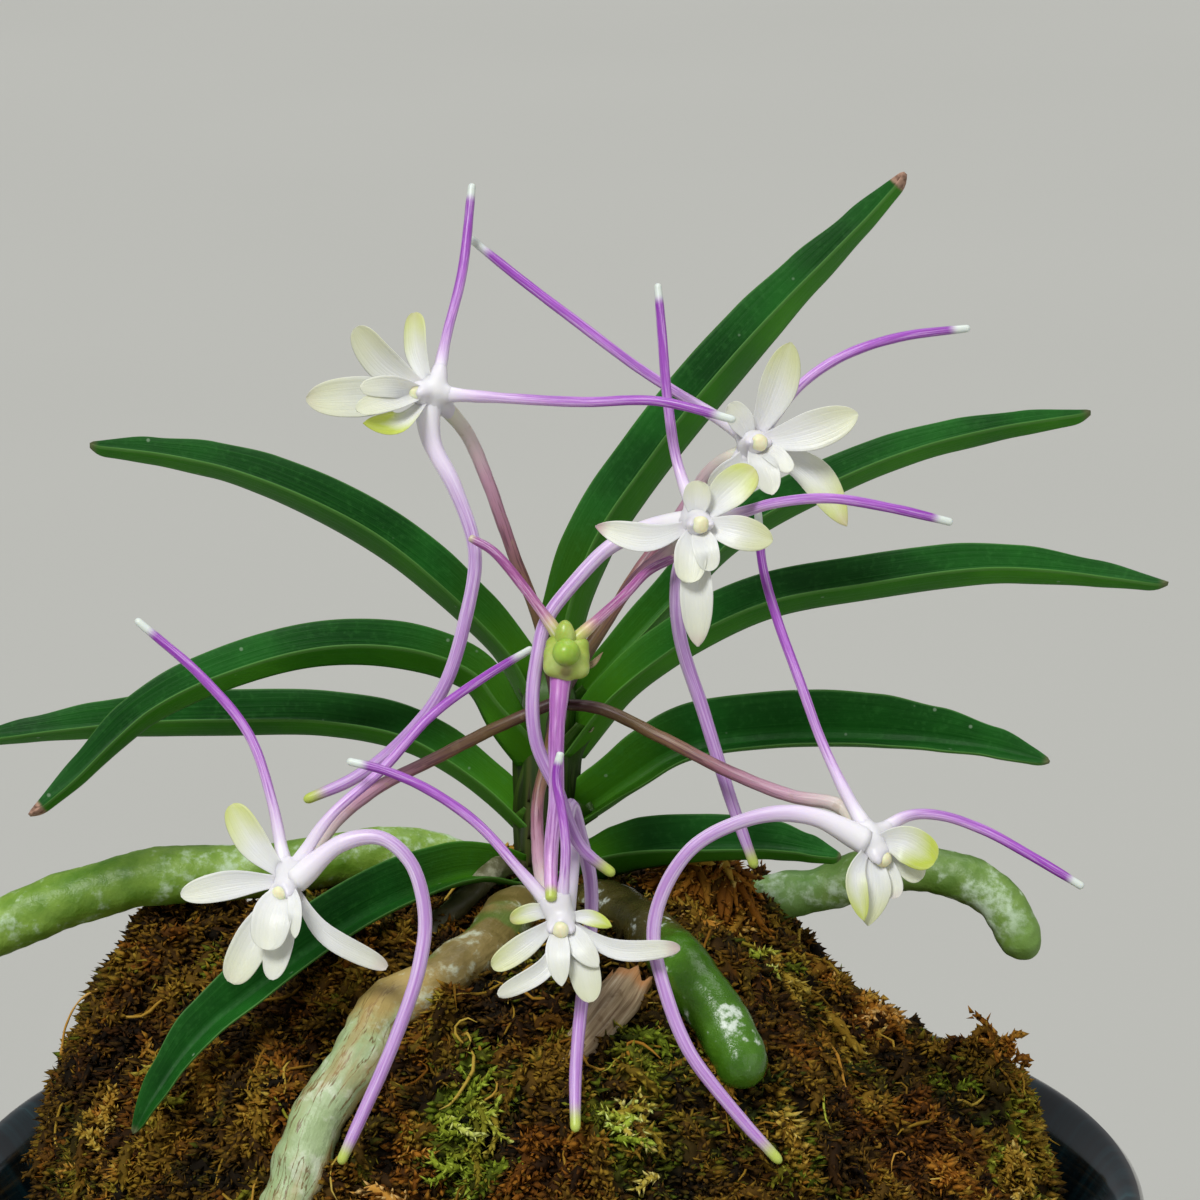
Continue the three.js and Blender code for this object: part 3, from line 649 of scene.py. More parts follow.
def round_end(share, start):
    """1 until start, then round to nearly nothing at the end."""
    if share <= start:
        return 1.0
    reach = (share - start) / (1 - start)
    return max(0.03, math.sqrt(1 - reach * reach))


def nearness(point, place, reach):
    """1 at a place, falling to 0 at so many millimetres from it."""
    return max(0.0, 1 - (point - place).length / (reach * MM))


def wander(place, size, seed=0.0):
    """Smooth noise between about -1 and 1, with features of so many millimetres."""
    return noise.noise(place / (size * MM) + Vector((seed, seed, seed)))


def uneven(height, size):
    """How far a skin stands out, for rod: by up to so many millimetres, in features of a size."""
    return lambda place: height * MM * wander(place, size)


def tube(name, ending, slot, paint, line, radius_at, shares, **settings):
    """A piece that is one round body and takes the place of the node of that name."""
    skin = Skin()
    rod(skin, line, radius_at, shares, **settings)
    skin.piece(f"{name}_{ending}", [paint], slot, name)


def melt(rough, voxel, values_at):
    """Melts the overlapping bodies of a rough skin into one. values_at(point) says how far along
    it a point is, its tone and its accent."""
    shape = add_mesh("rough", rough.points, rough.faces)
    remesh = shape.modifiers.new("melt", "REMESH")
    remesh.mode = "VOXEL"
    remesh.voxel_size = voxel * MM
    smooth = shape.modifiers.new("smooth", "SMOOTH")
    smooth.factor = 0.6
    smooth.iterations = 12
    done = shape.evaluated_get(bpy.context.evaluated_depsgraph_get()).to_mesh()
    skin = Skin()
    skin.points = [vertex.co.copy() for vertex in done.vertices]
    skin.faces = [tuple(polygon.vertices) for polygon in done.polygons]
    skin.kinds = [0] * len(skin.faces)
    bpy.data.meshes.remove(shape.data)  # and the object with it
    for point in skin.points:
        along, tone, accent = values_at(point)
        skin.grain.append((0, 0, along))
        skin.tone.append(tone)
        skin.accent.append(accent)
    return skin


# ---------------------------------------------------------------- blooms

# Each bloom has its heart, the way it looks, the way its column points, its tepals and lip lobes,
# and its pedicel and three spurs. A tepal is its middle, its tip, its width, how green and how rosy
# its tip is, and how pointed it is, from 0 to 1.
BLOOMS = [dict(
    heart=(-17.5, 21.5, 1), looks=(-0.55, 0, 0.85), beak=(-0.75, 0, 0.65),
    tepals=[
        ((-22, 24.3, 2), (-25.3, 28.2, 3), 4, 0.55, 0, 0),
        ((-19, 26, 0), (-19.4, 30, -1), 3, 0.95, 0.15, 0),
        ((-24.5, 21, 4), (-30.3, 20.7, 5), 4.3, 0.5, 0.15, 0.25),
        ((-21.5, 22, 5), (-24.6, 21.8, 6.5), 2.3, 0.15, 0, 0),
        ((-22, 20.5, 5.5), (-25, 19.5, 7), 2.6, 0.4, 0, 0),
        ((-20.6, 18.4, 4.5), (-24.3, 18.2, 6.5), 2.6, 1.9, 0, 0.6),
    ],
    pedicel=[(-16.5, 20.5, -1), (-14, 17.5, -4), (-12, 13, -5.5), (-9.2, 5, -7.5), (-6.7, -1.5, -9),
             (-5.5, -6.5, -10), (-4.5, -11.5, -11)],
    upper=[(-17, 22.5, 0.5), (-16, 28, -3), (-14.5, 34.5, -5), (-13.5, 44, -7)],
    side=[(-17.5, 21.5, 1), (-10.5, 21, 1.5), (-2, 20.5, 3), (6, 20.5, 5), (14, 18.5, 6)],
    main=[(-18, 20.5, 1), (-17.5, 16.5, 1), (-15, 11.5, 1.5), (-13, 5, 1.5), (-14, -2, 1),
          (-16.5, -9.5, 0), (-21, -15, -1), (-25.5, -18.5, -1.5), (-31, -21, -2)],
), dict(
    heart=(16, 16.5, -5.5), looks=(0.2, 0.1, 0.97), beak=(0.3, 0, 0.95),
    tepals=[
        ((18.5, 22, -4), (20, 27, -3), 4.1, 0.85, 0, 0.45),
        ((21.5, 17.5, -3), (27, 19.5, -2.5), 4.2, 0.5, 0, 0.4),
        ((22, 13.5, -5.5), (26, 7.8, -5), 3.9, 1.0, 0.4, 0.7),
        ((15, 18.5, -4), (13.5, 20.5, -3), 2.8, 0.1, 0, 0),
        ((14.5, 14, -5), (11.5, 11.5, -5.5), 3, 0.05, 0, 0.3),
        ((18.5, 15, -2.5), (20, 13.5, -1.5), 2.2, 0, 0, 0),
        ((17, 14, -2), (18, 11, -1), 3.2, 0.05, 0, 0.3),
    ],
    pedicel=[(16, 16, -7), (12, 14, -10), (8.5, 9, -10.5), (4, 3, -9.5), (0, -3.5, -8),
             (-4, -10, -6.5)],
    upper=[(16, 17, -6), (9.5, 21, -6), (4, 24.5, -6), (-2, 29, -6.5), (-8.5, 34, -7.5),
           (-14, 38.5, -8.5)],
    side=[(16.5, 17, -6.5), (21.5, 23, -9), (26, 26, -10), (32, 28, -11), (39.5, 29, -12)],
    main=[(16, 16, -6), (12, 10, -8), (8.5, 4, -7), (8.3, -3, -7), (11, -12, -8), (14, -21.5, -9),
          (16.5, -28.5, -10)],
), dict(
    heart=(10, 8, 3.5), looks=(0, 0.1, 0.99), beak=(0.15, -0.1, 0.97),
    tepals=[
        ((10, 10, 4.5), (10.1, 12.3, 5), 2.9, 0.35, 0, 0),
        ((13, 11, 4), (16, 13.6, 3.5), 3.9, 1.05, 0.2, 0.1),
        ((14, 7, 5.5), (17.8, 6.1, 5.5), 3.6, 0.8, 0, 0.4),
        ((5, 6.4, 5.5), (-0.5, 7.6, 5), 3.1, 0.1, 0.8, 0.7),
        ((9.4, 5, 6.5), (9.1, 1.8, 7.5), 3.5, 0.3, 0, 0),
        ((10.8, 5.5, 6.7), (11.4, 3, 7.2), 2.7, 0, 0, 0),
        ((9.9, 1.5, 6), (10.1, -4.8, 5.5), 3.5, 0.25, 0.4, 0.5),
    ],
    pedicel=[(9.5, 7, 2), (7, 5, -3), (4, 2.5, -4), (0.5, -2.5, -4), (-4, -9, -3.5)],
    upper=[(10, 8.5, 3), (8, 14.5, 0), (7, 21, 1), (6.5, 27, 1), (6, 33, 0)],
    side=[(10.5, 8, 2.5), (14.5, 9, 1.5), (18, 10, 3.5), (23.5, 10.5, 4.5), (30, 9.5, 4.5),
          (36.5, 8, 3.5)],
    main=[(9.5, 8, 2.5), (5, 7.5, 0), (1, 5.5, 0), (-2.5, 2, 1), (-5.5, -2, 2), (-6.5, -6, 3),
          (-7, -10.5, 3.5), (-6.5, -15, 3.5), (-4.5, -19.5, 3), (-2, -25.5, 3), (1.5, -28.5, 3)],
), dict(
    heart=(-32, -29, 4), looks=(-0.1, 0.05, 0.99), beak=(-0.4, -0.55, 0.73),
    tepals=[
        ((-35.5, -25.5, 4), (-38.2, -21.2, 3.5), 3.4, 1.0, 0, 0),
        ((-37.5, -29.3, 5), (-43.2, -30.4, 5.5), 3.1, 0.08, 0, 0.2),
        ((-35.1, -34, 5.5), (-38, -39.4, 6), 3.9, 0.4, 0.1, 0),
        ((-32.8, -34.5, 6.5), (-33.8, -39, 7), 3, 0, 0, 0.1),
        ((-28.6, -34.2, 4.5), (-22, -38, 4), 2.3, 0.1, 0.35, 0),
        ((-33.4, -32, 7.5), (-34.2, -35.8, 8.5), 4.2, 0, 0, 0),
        ((-31.3, -31.5, 8), (-31.2, -34.6, 8.8), 1.5, 0, 0, 0.3),
    ],
    pedicel=[(-31.5, -28.5, 2), (-27.5, -23, -1), (-23, -19.5, -3), (-17, -16.5, -5), (-11, -13.5, -7),
             (-4, -10.5, -8)],
    upper=[(-32.5, -28.5, 3.5), (-34, -21, 2), (-36.5, -14, 1), (-41.5, -8, 0), (-48.5, -2, -1)],
    side=[(-32, -28.5, 4), (-28, -22.5, 4.5), (-22.5, -17.5, 4), (-17.5, -12, 3.5), (-12, -8, 2),
          (-7, -5, -0.5)],
    main=[(-31.5, -29, 4.5), (-26.5, -25, 5.5), (-22.5, -24.5, 6), (-19.5, -27, 6.5), (-18, -32, 7),
          (-18.5, -37.5, 8), (-21, -45, 9), (-26.5, -57.5, 11)],
), dict(
    heart=(28, -25, 3), looks=(0.3, -0.2, 0.93), beak=(0.55, -0.75, 0.35),
    tepals=[
        ((31.2, -25, 4.5), (34.6, -27, 4.5), 4, 1.3, 0, 0),
        ((26.3, -28.5, 6), (27.2, -33, 6), 2.4, 1.1, 0, 0.5),
        ((28, -29, 4.5), (27.7, -33.6, 5), 4.4, 0.8, 0, 0.85),
        ((29.3, -27.5, 3.5), (30.6, -30.8, 4), 2.6, 0.05, 0.3, 0),
        ((31, -26.4, 2.5), (33.2, -29, 3), 3, 0.3, 0, 0),
    ],
    pedicel=[(27.5, -24.5, 1.5), (25, -21.5, -1), (20, -20.5, -2), (13.5, -18, -4), (6.5, -14.5, -6),
             (0, -11.5, -8), (-4.5, -11, -9.5)],
    upper=[(28, -24.5, 2.5), (25.5, -20, 1.5), (23, -14.5, 0), (21, -9, 0), (18.5, -2, -1),
           (17, 3.5, -1.5), (16.5, 9.5, -2)],
    side=[(28.5, -24.5, 2), (32, -22.5, 0), (35.5, -22.5, -1), (40, -24, -1), (45.5, -27, -1),
          (50.5, -30, -1)],
    main=[(27.5, -25, 3.5), (22.5, -22.5, 4.5), (18.5, -22, 5), (14, -23, 5.5), (9.5, -25.5, 6),
          (6.5, -30, 6), (5.5, -34.5, 6), (6.5, -39.5, 6.5), (9, -46, 8), (13.5, -52, 9),
          (18.5, -57.5, 10)],
), dict(
    heart=(-4, -32.5, 7.5), looks=(0, 0, 1), beak=(0, -0.5, 0.86),
    tepals=[
        ((-6.5, -31.9, 8.5), (-9.2, -32.7, 9), 1.9, 1.1, 0.3, 0),
        ((-1.2, -32.5, 8.5), (1.2, -33.4, 9), 1.7, 1.3, 0, 0.6),
        ((-7, -34.8, 9), (-11, -37.6, 9.5), 2.6, 0.9, 0, 0),
        ((-5.3, -37.2, 9.5), (-10.4, -40.4, 10), 2.1, 0.1, 0.1, 0),
        ((1.4, -35.7, 8.5), (8.2, -35.6, 9), 2.2, 0.05, 0.6, 0),
        ((-4.3, -36, 11), (-3.9, -39.3, 11.5), 2.6, 0, 0, 0.6),
        ((-1.8, -35.5, 10.5), (-0.2, -37.4, 11), 2.6, 0, 0, 0.5),
        ((-2, -36.5, 10), (-0.9, -41, 10.5), 3.3, 0.5, 0, 0.1),
    ],
    pedicel=[(-4.5, -32, 6.5), (-6, -29, 3), (-6.5, -25, 0), (-6.5, -21, -2), (-5.5, -16.5, -4),
             (-4, -9.5, -5)],
    upper=[(-4, -32, 8), (-3.5, -25.5, 9.5), (-4, -21, 9.5), (-4.5, -18, 9.5), (-4, -15.5, 9.5)],
    side=[(-4.5, -32, 8), (-8, -28, 8), (-12.5, -23, 8), (-17.5, -19.5, 8), (-22, -17.5, 8),
          (-26, -16.5, 7.5)],
    main=[(-4, -32.5, 6.5), (-3, -27, 1.5), (-3.5, -23.5, -1), (-3, -21.5, -3), (-2, -25, -4.5),
          (-1, -29.5, -4), (-1, -34.5, -1), (-1.5, -38.5, 2), (-2, -42.5, 6), (-2.5, -48.5, 10),
          (-2.5, -54, 13)],
)]

TEPAL_STEPS = denser_at_end(26)
# How wide the heart of a bloom is where it runs out on its spurs and pedicel.
NECK_FOOT = 1.35
NECKS = (("main", 1.18), ("upper", 0.87), ("side", 0.87), ("pedicel", 0.76))
COLUMN_LENGTH = 2.9
COLUMN_RADIUS = 1.4
EAR_RADIUS = 0.7
CAP_PLACE = 1.65  # how far along the column the anther cap begins
CAP_LENGTH = 1.5
CAP_RADIUS = 0.9


def tepal(skin, centre, looks, petal, number):
    middle, tip, width, green, rosy, pointed = petal
    power = mixed(3.6, 2.0, pointed)
    closing = mixed(0.42, 0.95, pointed)

    def shape(share):
        swell = mixed(0.34, 1.0, eased(0.0, 0.62, share))
        reach = max(0.0, share - 0.5) / 0.5
        half = 0.5 * width * MM * swell * max(0.03, (1 - reach ** power)) ** closing
        thick = TEPAL_THICKNESS * MM * mixed(1.0, 0.8, share) * max(0.35, round_end(share, 0.85))
        cup = half * mixed(0.42, 0.16, share)
        return half, cup, thick, thick * 0.35, 1.7

    def wave(share, x):
        ripple = math.sin(7 * share + 2.4 * number + (1.5 if x > 0 else 0.0))
        return 0.16 * MM * ripple * x * x * share

    line = laid((centre, middle, tip))
    blade(skin, line, TEPAL_STEPS, looks, shape, wave=wave, tone=green, accent=rosy)


def straight(foot, tip):
    return [foot, foot.lerp(tip, 0.5), tip]


def anther_cap(skin, centre, beak):
    """The cream cap let into the end of a bloom's column."""
    foot = centre + beak * CAP_PLACE * MM

    def bead(share):
        return CAP_RADIUS * MM * max(0.05, math.sin(math.pi * mixed(0.02, 0.98, share))) ** 0.4

    rod(skin, straight(foot, foot + beak * CAP_LENGTH * MM), bead, evenly(14), sides=18, kind=1,
        rough=uneven(0.1, 0.6))


def column(skin, centre, beak):
    """The column of a bloom: a hood between two ears."""
    reach = beak * COLUMN_LENGTH * MM
    side = beak.cross(facing((0, 1, 0.1))).normalized() * MM
    hood = [centre, centre + reach * 0.5, centre + reach * 0.9]
    rod(skin, hood, lambda share: COLUMN_RADIUS * MM * round_end(share, 0.6), denser_at_end(12),
        sides=18, flat=0.85)
    for ear in (-1, 1):
        line = straight(centre + side * ear * 0.5, centre + reach * 1.04 + side * ear * 1.15)
        rod(skin, line, lambda share: EAR_RADIUS * MM * round_end(share, 0.5), denser_at_end(10),
            sides=12)


def heart(flower):
    """The middle of a bloom: a ball drawn out into its spurs, its pedicel and its column."""
    rough = Skin()
    centre = at(flower["heart"])
    reach = facing((0, 1, 0)) * HEART_RADIUS * MM

    def ball(share):
        return HEART_RADIUS * MM * max(0.03, math.sin(math.pi * mixed(0.01, 0.99, share)) ** 0.6)

    rod(rough, straight(centre - reach, centre + reach), ball, evenly(14), sides=20)
    for name, wide in NECKS:
        start = at(flower[name][0])
        out = (at(flower[name][1]) - start).normalized() * MM
        rod(rough, [centre.lerp(start, 0.5), start + out * 1.0, start + out * 2.3],
            lambda share, wide=wide: MM * mixed(NECK_FOOT, wide, eased(0.1, 1, share)), evenly(10))
    column(rough, centre, facing(flower["beak"]))
    return melt(rough, 0.25, lambda point: (0.3 * nearness(point, centre, 4), 0.1, 0))


def bloom(number, flower, paints):
    skin = heart(flower)
    looks = facing(flower["looks"])
    for index, petal in enumerate(flower["tepals"]):
        tepal(skin, flower["heart"], looks, petal, number + index)
    anther_cap(skin, at(flower["heart"]), facing(flower["beak"]))
    name = f"flower_{number}"
    skin.piece(f"{name}_bloom", paints, "petal", name)


SPUR_TAPER = [1.65, 1.25, 1.02, 1, 1, 0.98, 0.95, 0.9, 0.75]
SPUR_STEPS = [*evenly(84)[:-2], 0.985, 0.989, 0.993, 0.996, 0.998, 1]
PEDICEL_TAPER = [1.3, 1.1, 1, 1, 0.95]


def spur(name, line, radius, paint, flare=1.15):
    def taper(share):
        foot = mixed(flare, 1.0, eased(0.0, 0.12, share))
        return radius * MM * sampled(SPUR_TAPER, share) * foot * round_end(share, 0.985)

    tube(name, "tube", "spur", paint, laid(line), taper, SPUR_STEPS, sides=12,
         rough=uneven(0.03, 2.2))


def pedicel(name, line, paint):
    def taper(share):
        return PEDICEL_RADIUS * MM * sampled(PEDICEL_TAPER, share)

    tube(name, "rod", "stalk", paint, laid(line), taper, evenly(60), sides=12,
         rough=uneven(0.05, 1.3))


def blooms():
    paints = [petal_paint(), anther_paint()]
    side_paint = spur_paint("side_spur", SIDE_SPUR, "7f2a9c", "d9e2da", 0.94)
    main_paint = spur_paint("main_spur", MAIN_SPUR, "9a55b0", "b9c95c", 0.97)
    stalks = pedicel_paint()
    for number, flower in enumerate(BLOOMS, 1):
        bloom(number, flower, paints)
        pedicel(f"pedicel_{number}", flower["pedicel"], stalks)
        spur(f"spur_{number}_main", flower["main"], MAIN_SPUR_RADIUS, main_paint)
        spur(f"spur_{number}_upper", flower["upper"], SIDE_SPUR_RADIUS, side_paint)
        spur(f"spur_{number}_side", flower["side"], SIDE_SPUR_RADIUS, side_paint)


# ---------------------------------------------------------------- bud and stalk

BUD_CENTRE = (-3.5, -5.5, 4.5)
BUD_SPURS = {
    "left": [(-4, -4, 4.5), (-8, 1.5, 5), (-11, 5, 5), (-13.5, 6.5, 4.5)],
    "right": [(-3, -4.5, 4.5), (2.5, 0.5, 4.5), (5, 3, 3), (8, 4.5, 1)],
    "main": [(-4, -6.8, 3.8), (-4.5, -14.5, 6), (-4.5, -20.5, 6.5), (-5, -25.5, 7), (-5, -30.8, 9.3)],
}
STALK_LINE = [(-5, -21.5, -28), (-5, -18, -22), (-5, -15, -16), (-4.5, -12, -12), (-4, -9.5, -5),
              (-3.5, -7, 3)]
STALK_TAPER = [1.1, 1, 0.9]
BRACT_LINE = [(-2.2, -7.2, 3.4), (-0.8, -6.6, 4), (0.3, -5.4, 4.4)]
BRACT_WIDTH = 0.68

# The bud is a squat cushion of lobes; a round cap sits on its front and another behind it.
BUD_CUSHION = [
    ((0, -0.6, 0.2), 2.3), ((-1.3, -1.35, 0.5), 1.2), ((1.35, -1.5, 0.5), 1.2), ((0, -1.2, 0.8), 1.4),
    ((-1.1, -0.2, 0.5), 1.35), ((1.2, -0.3, 0.5), 1.35), ((-1.2, 0.9, 0), 1.0), ((1.5, 0.8, 0), 1.0),
]
BUD_CAPS = [
    ((0, 0.1, 1.1), (0.05, 0, 3.4), 1.45, 1.0), ((-0.1, 0.9, 0.6), (-0.1, 3.4, 1.0), 1.05, 0.3),
]


def bud_place(offset):
    return at([middle + step for middle, step in zip(BUD_CENTRE, offset)])


def rounded(length_share):
    """A capsule's outline: round at both ends of its length."""
    return max(0.04, math.sin(math.pi * mixed(0.015, 0.985, length_share))) ** 0.5


def bud(paint):
    """The bud, with painted shade in brown between its front cap and its cushion."""
    rough = Skin()
    for (x, y, z), radius in BUD_CUSHION:
        line = [bud_place((x, y + step * radius, z)) for step in (-1, 0, 1)]
        rod(rough, line, lambda share, r=radius: r * MM * rounded(share), evenly(10))
    # Places of painted shade: under the front cap, in the crease below it, and where the cap meets the
    # cushion.
    shade_under_cap = bud_place((0, -1.2, 2.0))
    below = bud_place((0, -2.2, 2.0))
    shade_at_cap_edge = bud_place((0, -1.5, 2.2))

    def values_at(point):
        painted_shade = 0.9 * nearness(point, shade_under_cap, 1.3) + nearness(point, below, 0.9)
        return 0, 0.15, min(0.8, painted_shade)

    skin = melt(rough, 0.22, values_at)
    first = len(skin.points)
    for foot, tip, radius, lime in BUD_CAPS:
        line = straight(bud_place(foot), bud_place(tip))
        rod(skin, line, lambda share, r=radius: r * MM * rounded(mixed(0.25, 1, share)), evenly(16),
            sides=22, tone=lime)
    # Painted shade on the caps, near where the front cap meets the cushion.
    skin.accent[first:] = [0.75 * nearness(point, shade_at_cap_edge, 1.4) for point in skin.points[first:]]
    skin.piece("bud_cushion_and_caps", [paint], "bud", "bud")


def stalk(paint):
    skin = Skin()

    def taper(share):
        return STALK_RADIUS * MM * sampled(STALK_TAPER, share)

    rod(skin, laid(STALK_LINE), taper, evenly(50), rough=uneven(0.08, 1.6))
    skin.grain = [(x, y, mixed(0.93, 1.0, z)) for x, y, z in skin.grain]
    skin.piece("flower_stalk_rod", [paint], "stalk", "flower_stalk")


def bract():
    """A dry, papery bract beside the bud."""
    skin = Skin()

    def shape(share):
        half = 0.5 * BRACT_WIDTH * MM * max(0.05, math.sin(math.pi * mixed(0.12, 0.98, share)))
        return half, 0.3 * half, 0.12 * MM, 0.08 * MM, 1.6

    blade(skin, laid(BRACT_LINE), evenly(14), facing((0.4, 0.2, 1)), shape, sides=12)
    skin.piece("bract", [husk_paint()], "dry_sheath")


def bud_and_stalk():
    bud(bud_paint())
    radius = {"left": SIDE_SPUR_RADIUS, "right": SIDE_SPUR_RADIUS, "main": MAIN_SPUR_RADIUS * 1.1}
    side_paint = spur_paint("bud_spur", BUD_SPUR, "7a3570", "c3b8a0", 0.97)
    main_paint = spur_paint("bud_main_spur", BUD_MAIN_SPUR, "782a84", "b9c95c", 0.96)
    for name, line in BUD_SPURS.items():
        paint = main_paint if name == "main" else side_paint
        spur(f"bud_spur_{name}", line, radius[name], paint, flare=0.9)
    stalk(pedicel_paint())
    bract()


# ---------------------------------------------------------------- leaves and stem

# A leaf is its width, the way its upper side looks, whether its tip is dry, and its line.
LEAVES = [
    (6, (-0.6, 0.52, 0.61), 1, [(-5, -9, -25), (-4.5, -3, -25), (-1, 7, -24.5), (5.5, 16.5, -24),
     (12.5, 25, -23.5), (20, 33.5, -23), (28, 41.5, -22), (33, 46.5, -21)]),
    (4.2, (0, 0.8, 0.6), 0, [(-4.5, -13, -26.5), (1.5, -6, -28), (7.5, 0.5, -29), (15, 8, -30),
     (27, 14.5, -31), (35, 17.5, -31.5), (44, 19.5, -32), (54.5, 21, -33)]),
    (4.9, (0, 0.77, 0.64), 0, [(-4, -16.5, -26), (1.5, -9.5, -22.5), (9.5, -3.5, -21), (18, 0.5, -20),
     (28.5, 2.5, -19.5), (42.5, 4, -19), (55, 3, -19), (61.5, 2, -19)]),
    (7, (0, 0.55, 0.83), 0, [(-4.5, -24.5, -28), (2.5, -19.5, -25.5), (9, -15.5, -24.5), (18, -14, -24),
     (30.5, -14, -23.5), (42, -15.5, -23), (49, -17.5, -22.5)]),
    (4.9, (0.1, 0.77, 0.63), 0, [(-6.5, -11.5, -25.5), (-9, -6, -23.5), (-15.5, 1, -23),
     (-23, 7, -22.5), (-32, 12, -22), (-40, 15, -22), (-48.5, 16.5, -22), (-55.5, 17, -22)]),
    (4.7, (0, 0.8, 0.6), 1, [(-6.5, -17, -26), (-10, -12, -22), (-13.5, -7.5, -20), (-20, -5, -19),
     (-30, -4.5, -18), (-40, -7, -17.5), (-49, -11.5, -17), (-57, -19, -16.5), (-61.5, -23, -16)]),
    (5, (0, 0.75, 0.66), 0, [(-6.5, -25.5, -29), (-12, -20, -28), (-20.5, -14.5, -28),
     (-30, -12.5, -28.5), (-41, -12.5, -29), (-53.5, -13, -29.5), (-66, -14.5, -30),
     (-70.5, -15.5, -30)]),
    (6, (-0.2, 0.4, 0.89), 0, [(-7, -30.5, -29.5), (-14, -29, -22), (-21.5, -31, -16), (-29, -35, -11),
     (-36, -40, -7), (-42.5, -45.5, -4.5), (-47, -52, -3.5), (-49, -56, -3.5)]),
    (5.4, (0, 0.7, 0.71), 0, [(-4, -29.5, -29), (2.5, -27, -23.5), (9.5, -26, -20), (18, -26, -18),
     (26, -27.5, -17)]),
]
LEAF_OUTLINE = [0.6, 0.75, 0.9, 1, 1, 1, 0.95, 0.8, 0.55, 0.2]
LEAF_FOLD = [1.6, 1.5, 1.4, 1.35, 1.25, 1]


def leaf(number, width, upper, dry, line, paint):
    skin = Skin()

    def shape(share):
        half = 0.5 * width * MM * sampled(LEAF_OUTLINE, share) * round_end(share, 0.965)
        fold = sampled(LEAF_FOLD, share)
        depth = MM * math.hypot(1, fold) * max(0.4, round_end(share, 0.97))
        return half, fold * half, LEAF_THICKNESS * depth, LEAF_EDGE * depth, 1.08

    def wave(share, x):
        return 0.2 * MM * math.sin(11 * share + 1.9 * number) * x * x * eased(0.1, 0.5, share)

    steps = [mixed(place, math.sin(0.5 * math.pi * place), 0.35) for place in evenly(110)]
    blade(skin, laid(line), steps, facing(upper), shape, sides=28, sink=LEAF_SINK, wave=wave,
          accent=dry)
    skin.piece(f"leaf_{number}_blade", [paint], "leaf", f"leaf_{number}")


STEM_AXIS = [(0, 1, POT_HEIGHT + 21.5), (0, 0.5, POT_HEIGHT + 37.5), (0.5, -0.5, POT_HEIGHT + 59.5)]
STEM_RADIUS = 2.9
DRY_CURL = [(-1.6, -14, -23.9), (-1.0, -14.3, -23.2), (-0.7, -13.9, -22.9)]
DRY_CURL_WIDTH = 0.5
SHEATH_WIDTH = 6.2
SHEATH_DROP = 13  # from the foot of a leaf to the foot of its sheath


def sheath(skin, line, width):
    """The folded foot of a leaf, which clasps the stem and leans out into its leaf."""
    foot = at(line[0])
    ahead = at(line[1])
    outward = math.copysign(1, ahead.x - foot.x)
    points = [
        Vector((0, 0.8 * MM, foot.z - SHEATH_DROP * MM)),
        Vector((outward * 0.6 * MM, 0.5 * MM, foot.z - 6 * MM)),
        foot,
        foot.lerp(ahead, 0.45),
    ]

    def shape(share):
        half = MM * mixed(0.5 * SHEATH_WIDTH, 0.34 * width, share)
        thick = mixed(1.5, 0.5, eased(0.5, 1, share)) * MM
        return half, 1.25 * half, thick, 0.12 * thick, 1.3

    blade(skin, points, evenly(30), Vector((-0.6 * outward, 0, 0.8)), shape, sides=28, sink=LEAF_SINK)


def stem(paint):
    """Leaf sheaths that clasp each other, with a curl of dry skin on one."""
    skin = Skin()
    rod(skin, laid(STEM_AXIS, world), lambda share: STEM_RADIUS * MM * round_end(share, 0.9),
        evenly(40), sides=24)
    for width, _, _, line in LEAVES:
        sheath(skin, line, width)

    def shape(share):
        half = 0.5 * DRY_CURL_WIDTH * MM * mixed(1.0, 0.3, share)
        return half, 0.5 * half, 0.2 * MM, 0.12 * MM, 1.4

    blade(skin, laid(DRY_CURL), evenly(14), facing((0.2, 0.3, 1)), shape, sides=14, accent=1.0)
    skin.piece("stem_sheaths", [paint], "stem", "stem_with_leaf_sheaths")


def foliage():
    paint = leaf_paint()
    for number, (width, upper, dry, line) in enumerate(LEAVES, 1):
        leaf(number, width, upper, dry, line, paint)
    stem(sheath_paint())


# ---------------------------------------------------------------- roots and husk

ROOT_SWELL = [0.8, 0.95, 1, 0.96, 1.02, 0.97, 1.03, 0.98, 1, 0.97, 0.9]
# A root is its radius, how knobbly it is, whether its tip grows, and its line in the frame.
ROOTS = [
    (3.1, 0.25, 0, [(-2, 3, 108), (-9, 3, 112), (-18, 2, 114), (-30, 1, 112.5), (-44, 0, 112),
     (-52, -1, 110), (-60, -2, 107), (-68, -4, 104)]),
    (2.6, 0.3, 1, [(3, 3, 106), (12, 3, 108), (24, 3, 108.5), (30, 3, 109.5), (36, 3, 111.5),
     (42, 3, 112), (49, 1, 110), (54, -1, 103)]),
    (2.9, 0.45, 0, [(-1, -3, 107), (-3, -9, 111), (-6, -20, 111), (-12, -28, 109), (-16, -30, 108),
     (-19, -35, 104), (-23, -39, 99), (-26, -43, 91), (-28, -46, 84)]),
    (3, 0.2, 0, [(2, -2, 107), (6, -7, 111), (12, -18, 111), (15.8, -27, 109.5), (18.9, -32, 106.3),
     (21.6, -37, 101.6)]),
    (1.3, 0.3, 0, [(-1, 2, 111), (-4.5, -3, 114.5), (-8.5, -8, 112.3), (-12, -12, 110),
     (-14, -14.5, 106)]),
]


def root(number, radius, knobs, growing, line, paint):
    def taper(share):
        return radius * MM * sampled(ROOT_SWELL, share) * round_end(share, 0.945)

    def rough(place):
        return knobs * MM * (wander(place, 3.5, number) + 0.5 * wander(place, 1.3, number))

    tube(f"root_{number}", "velamen", "root", paint, laid(line, world), taper, denser_at_end(150),
         sides=28, rough=rough, accent=growing)


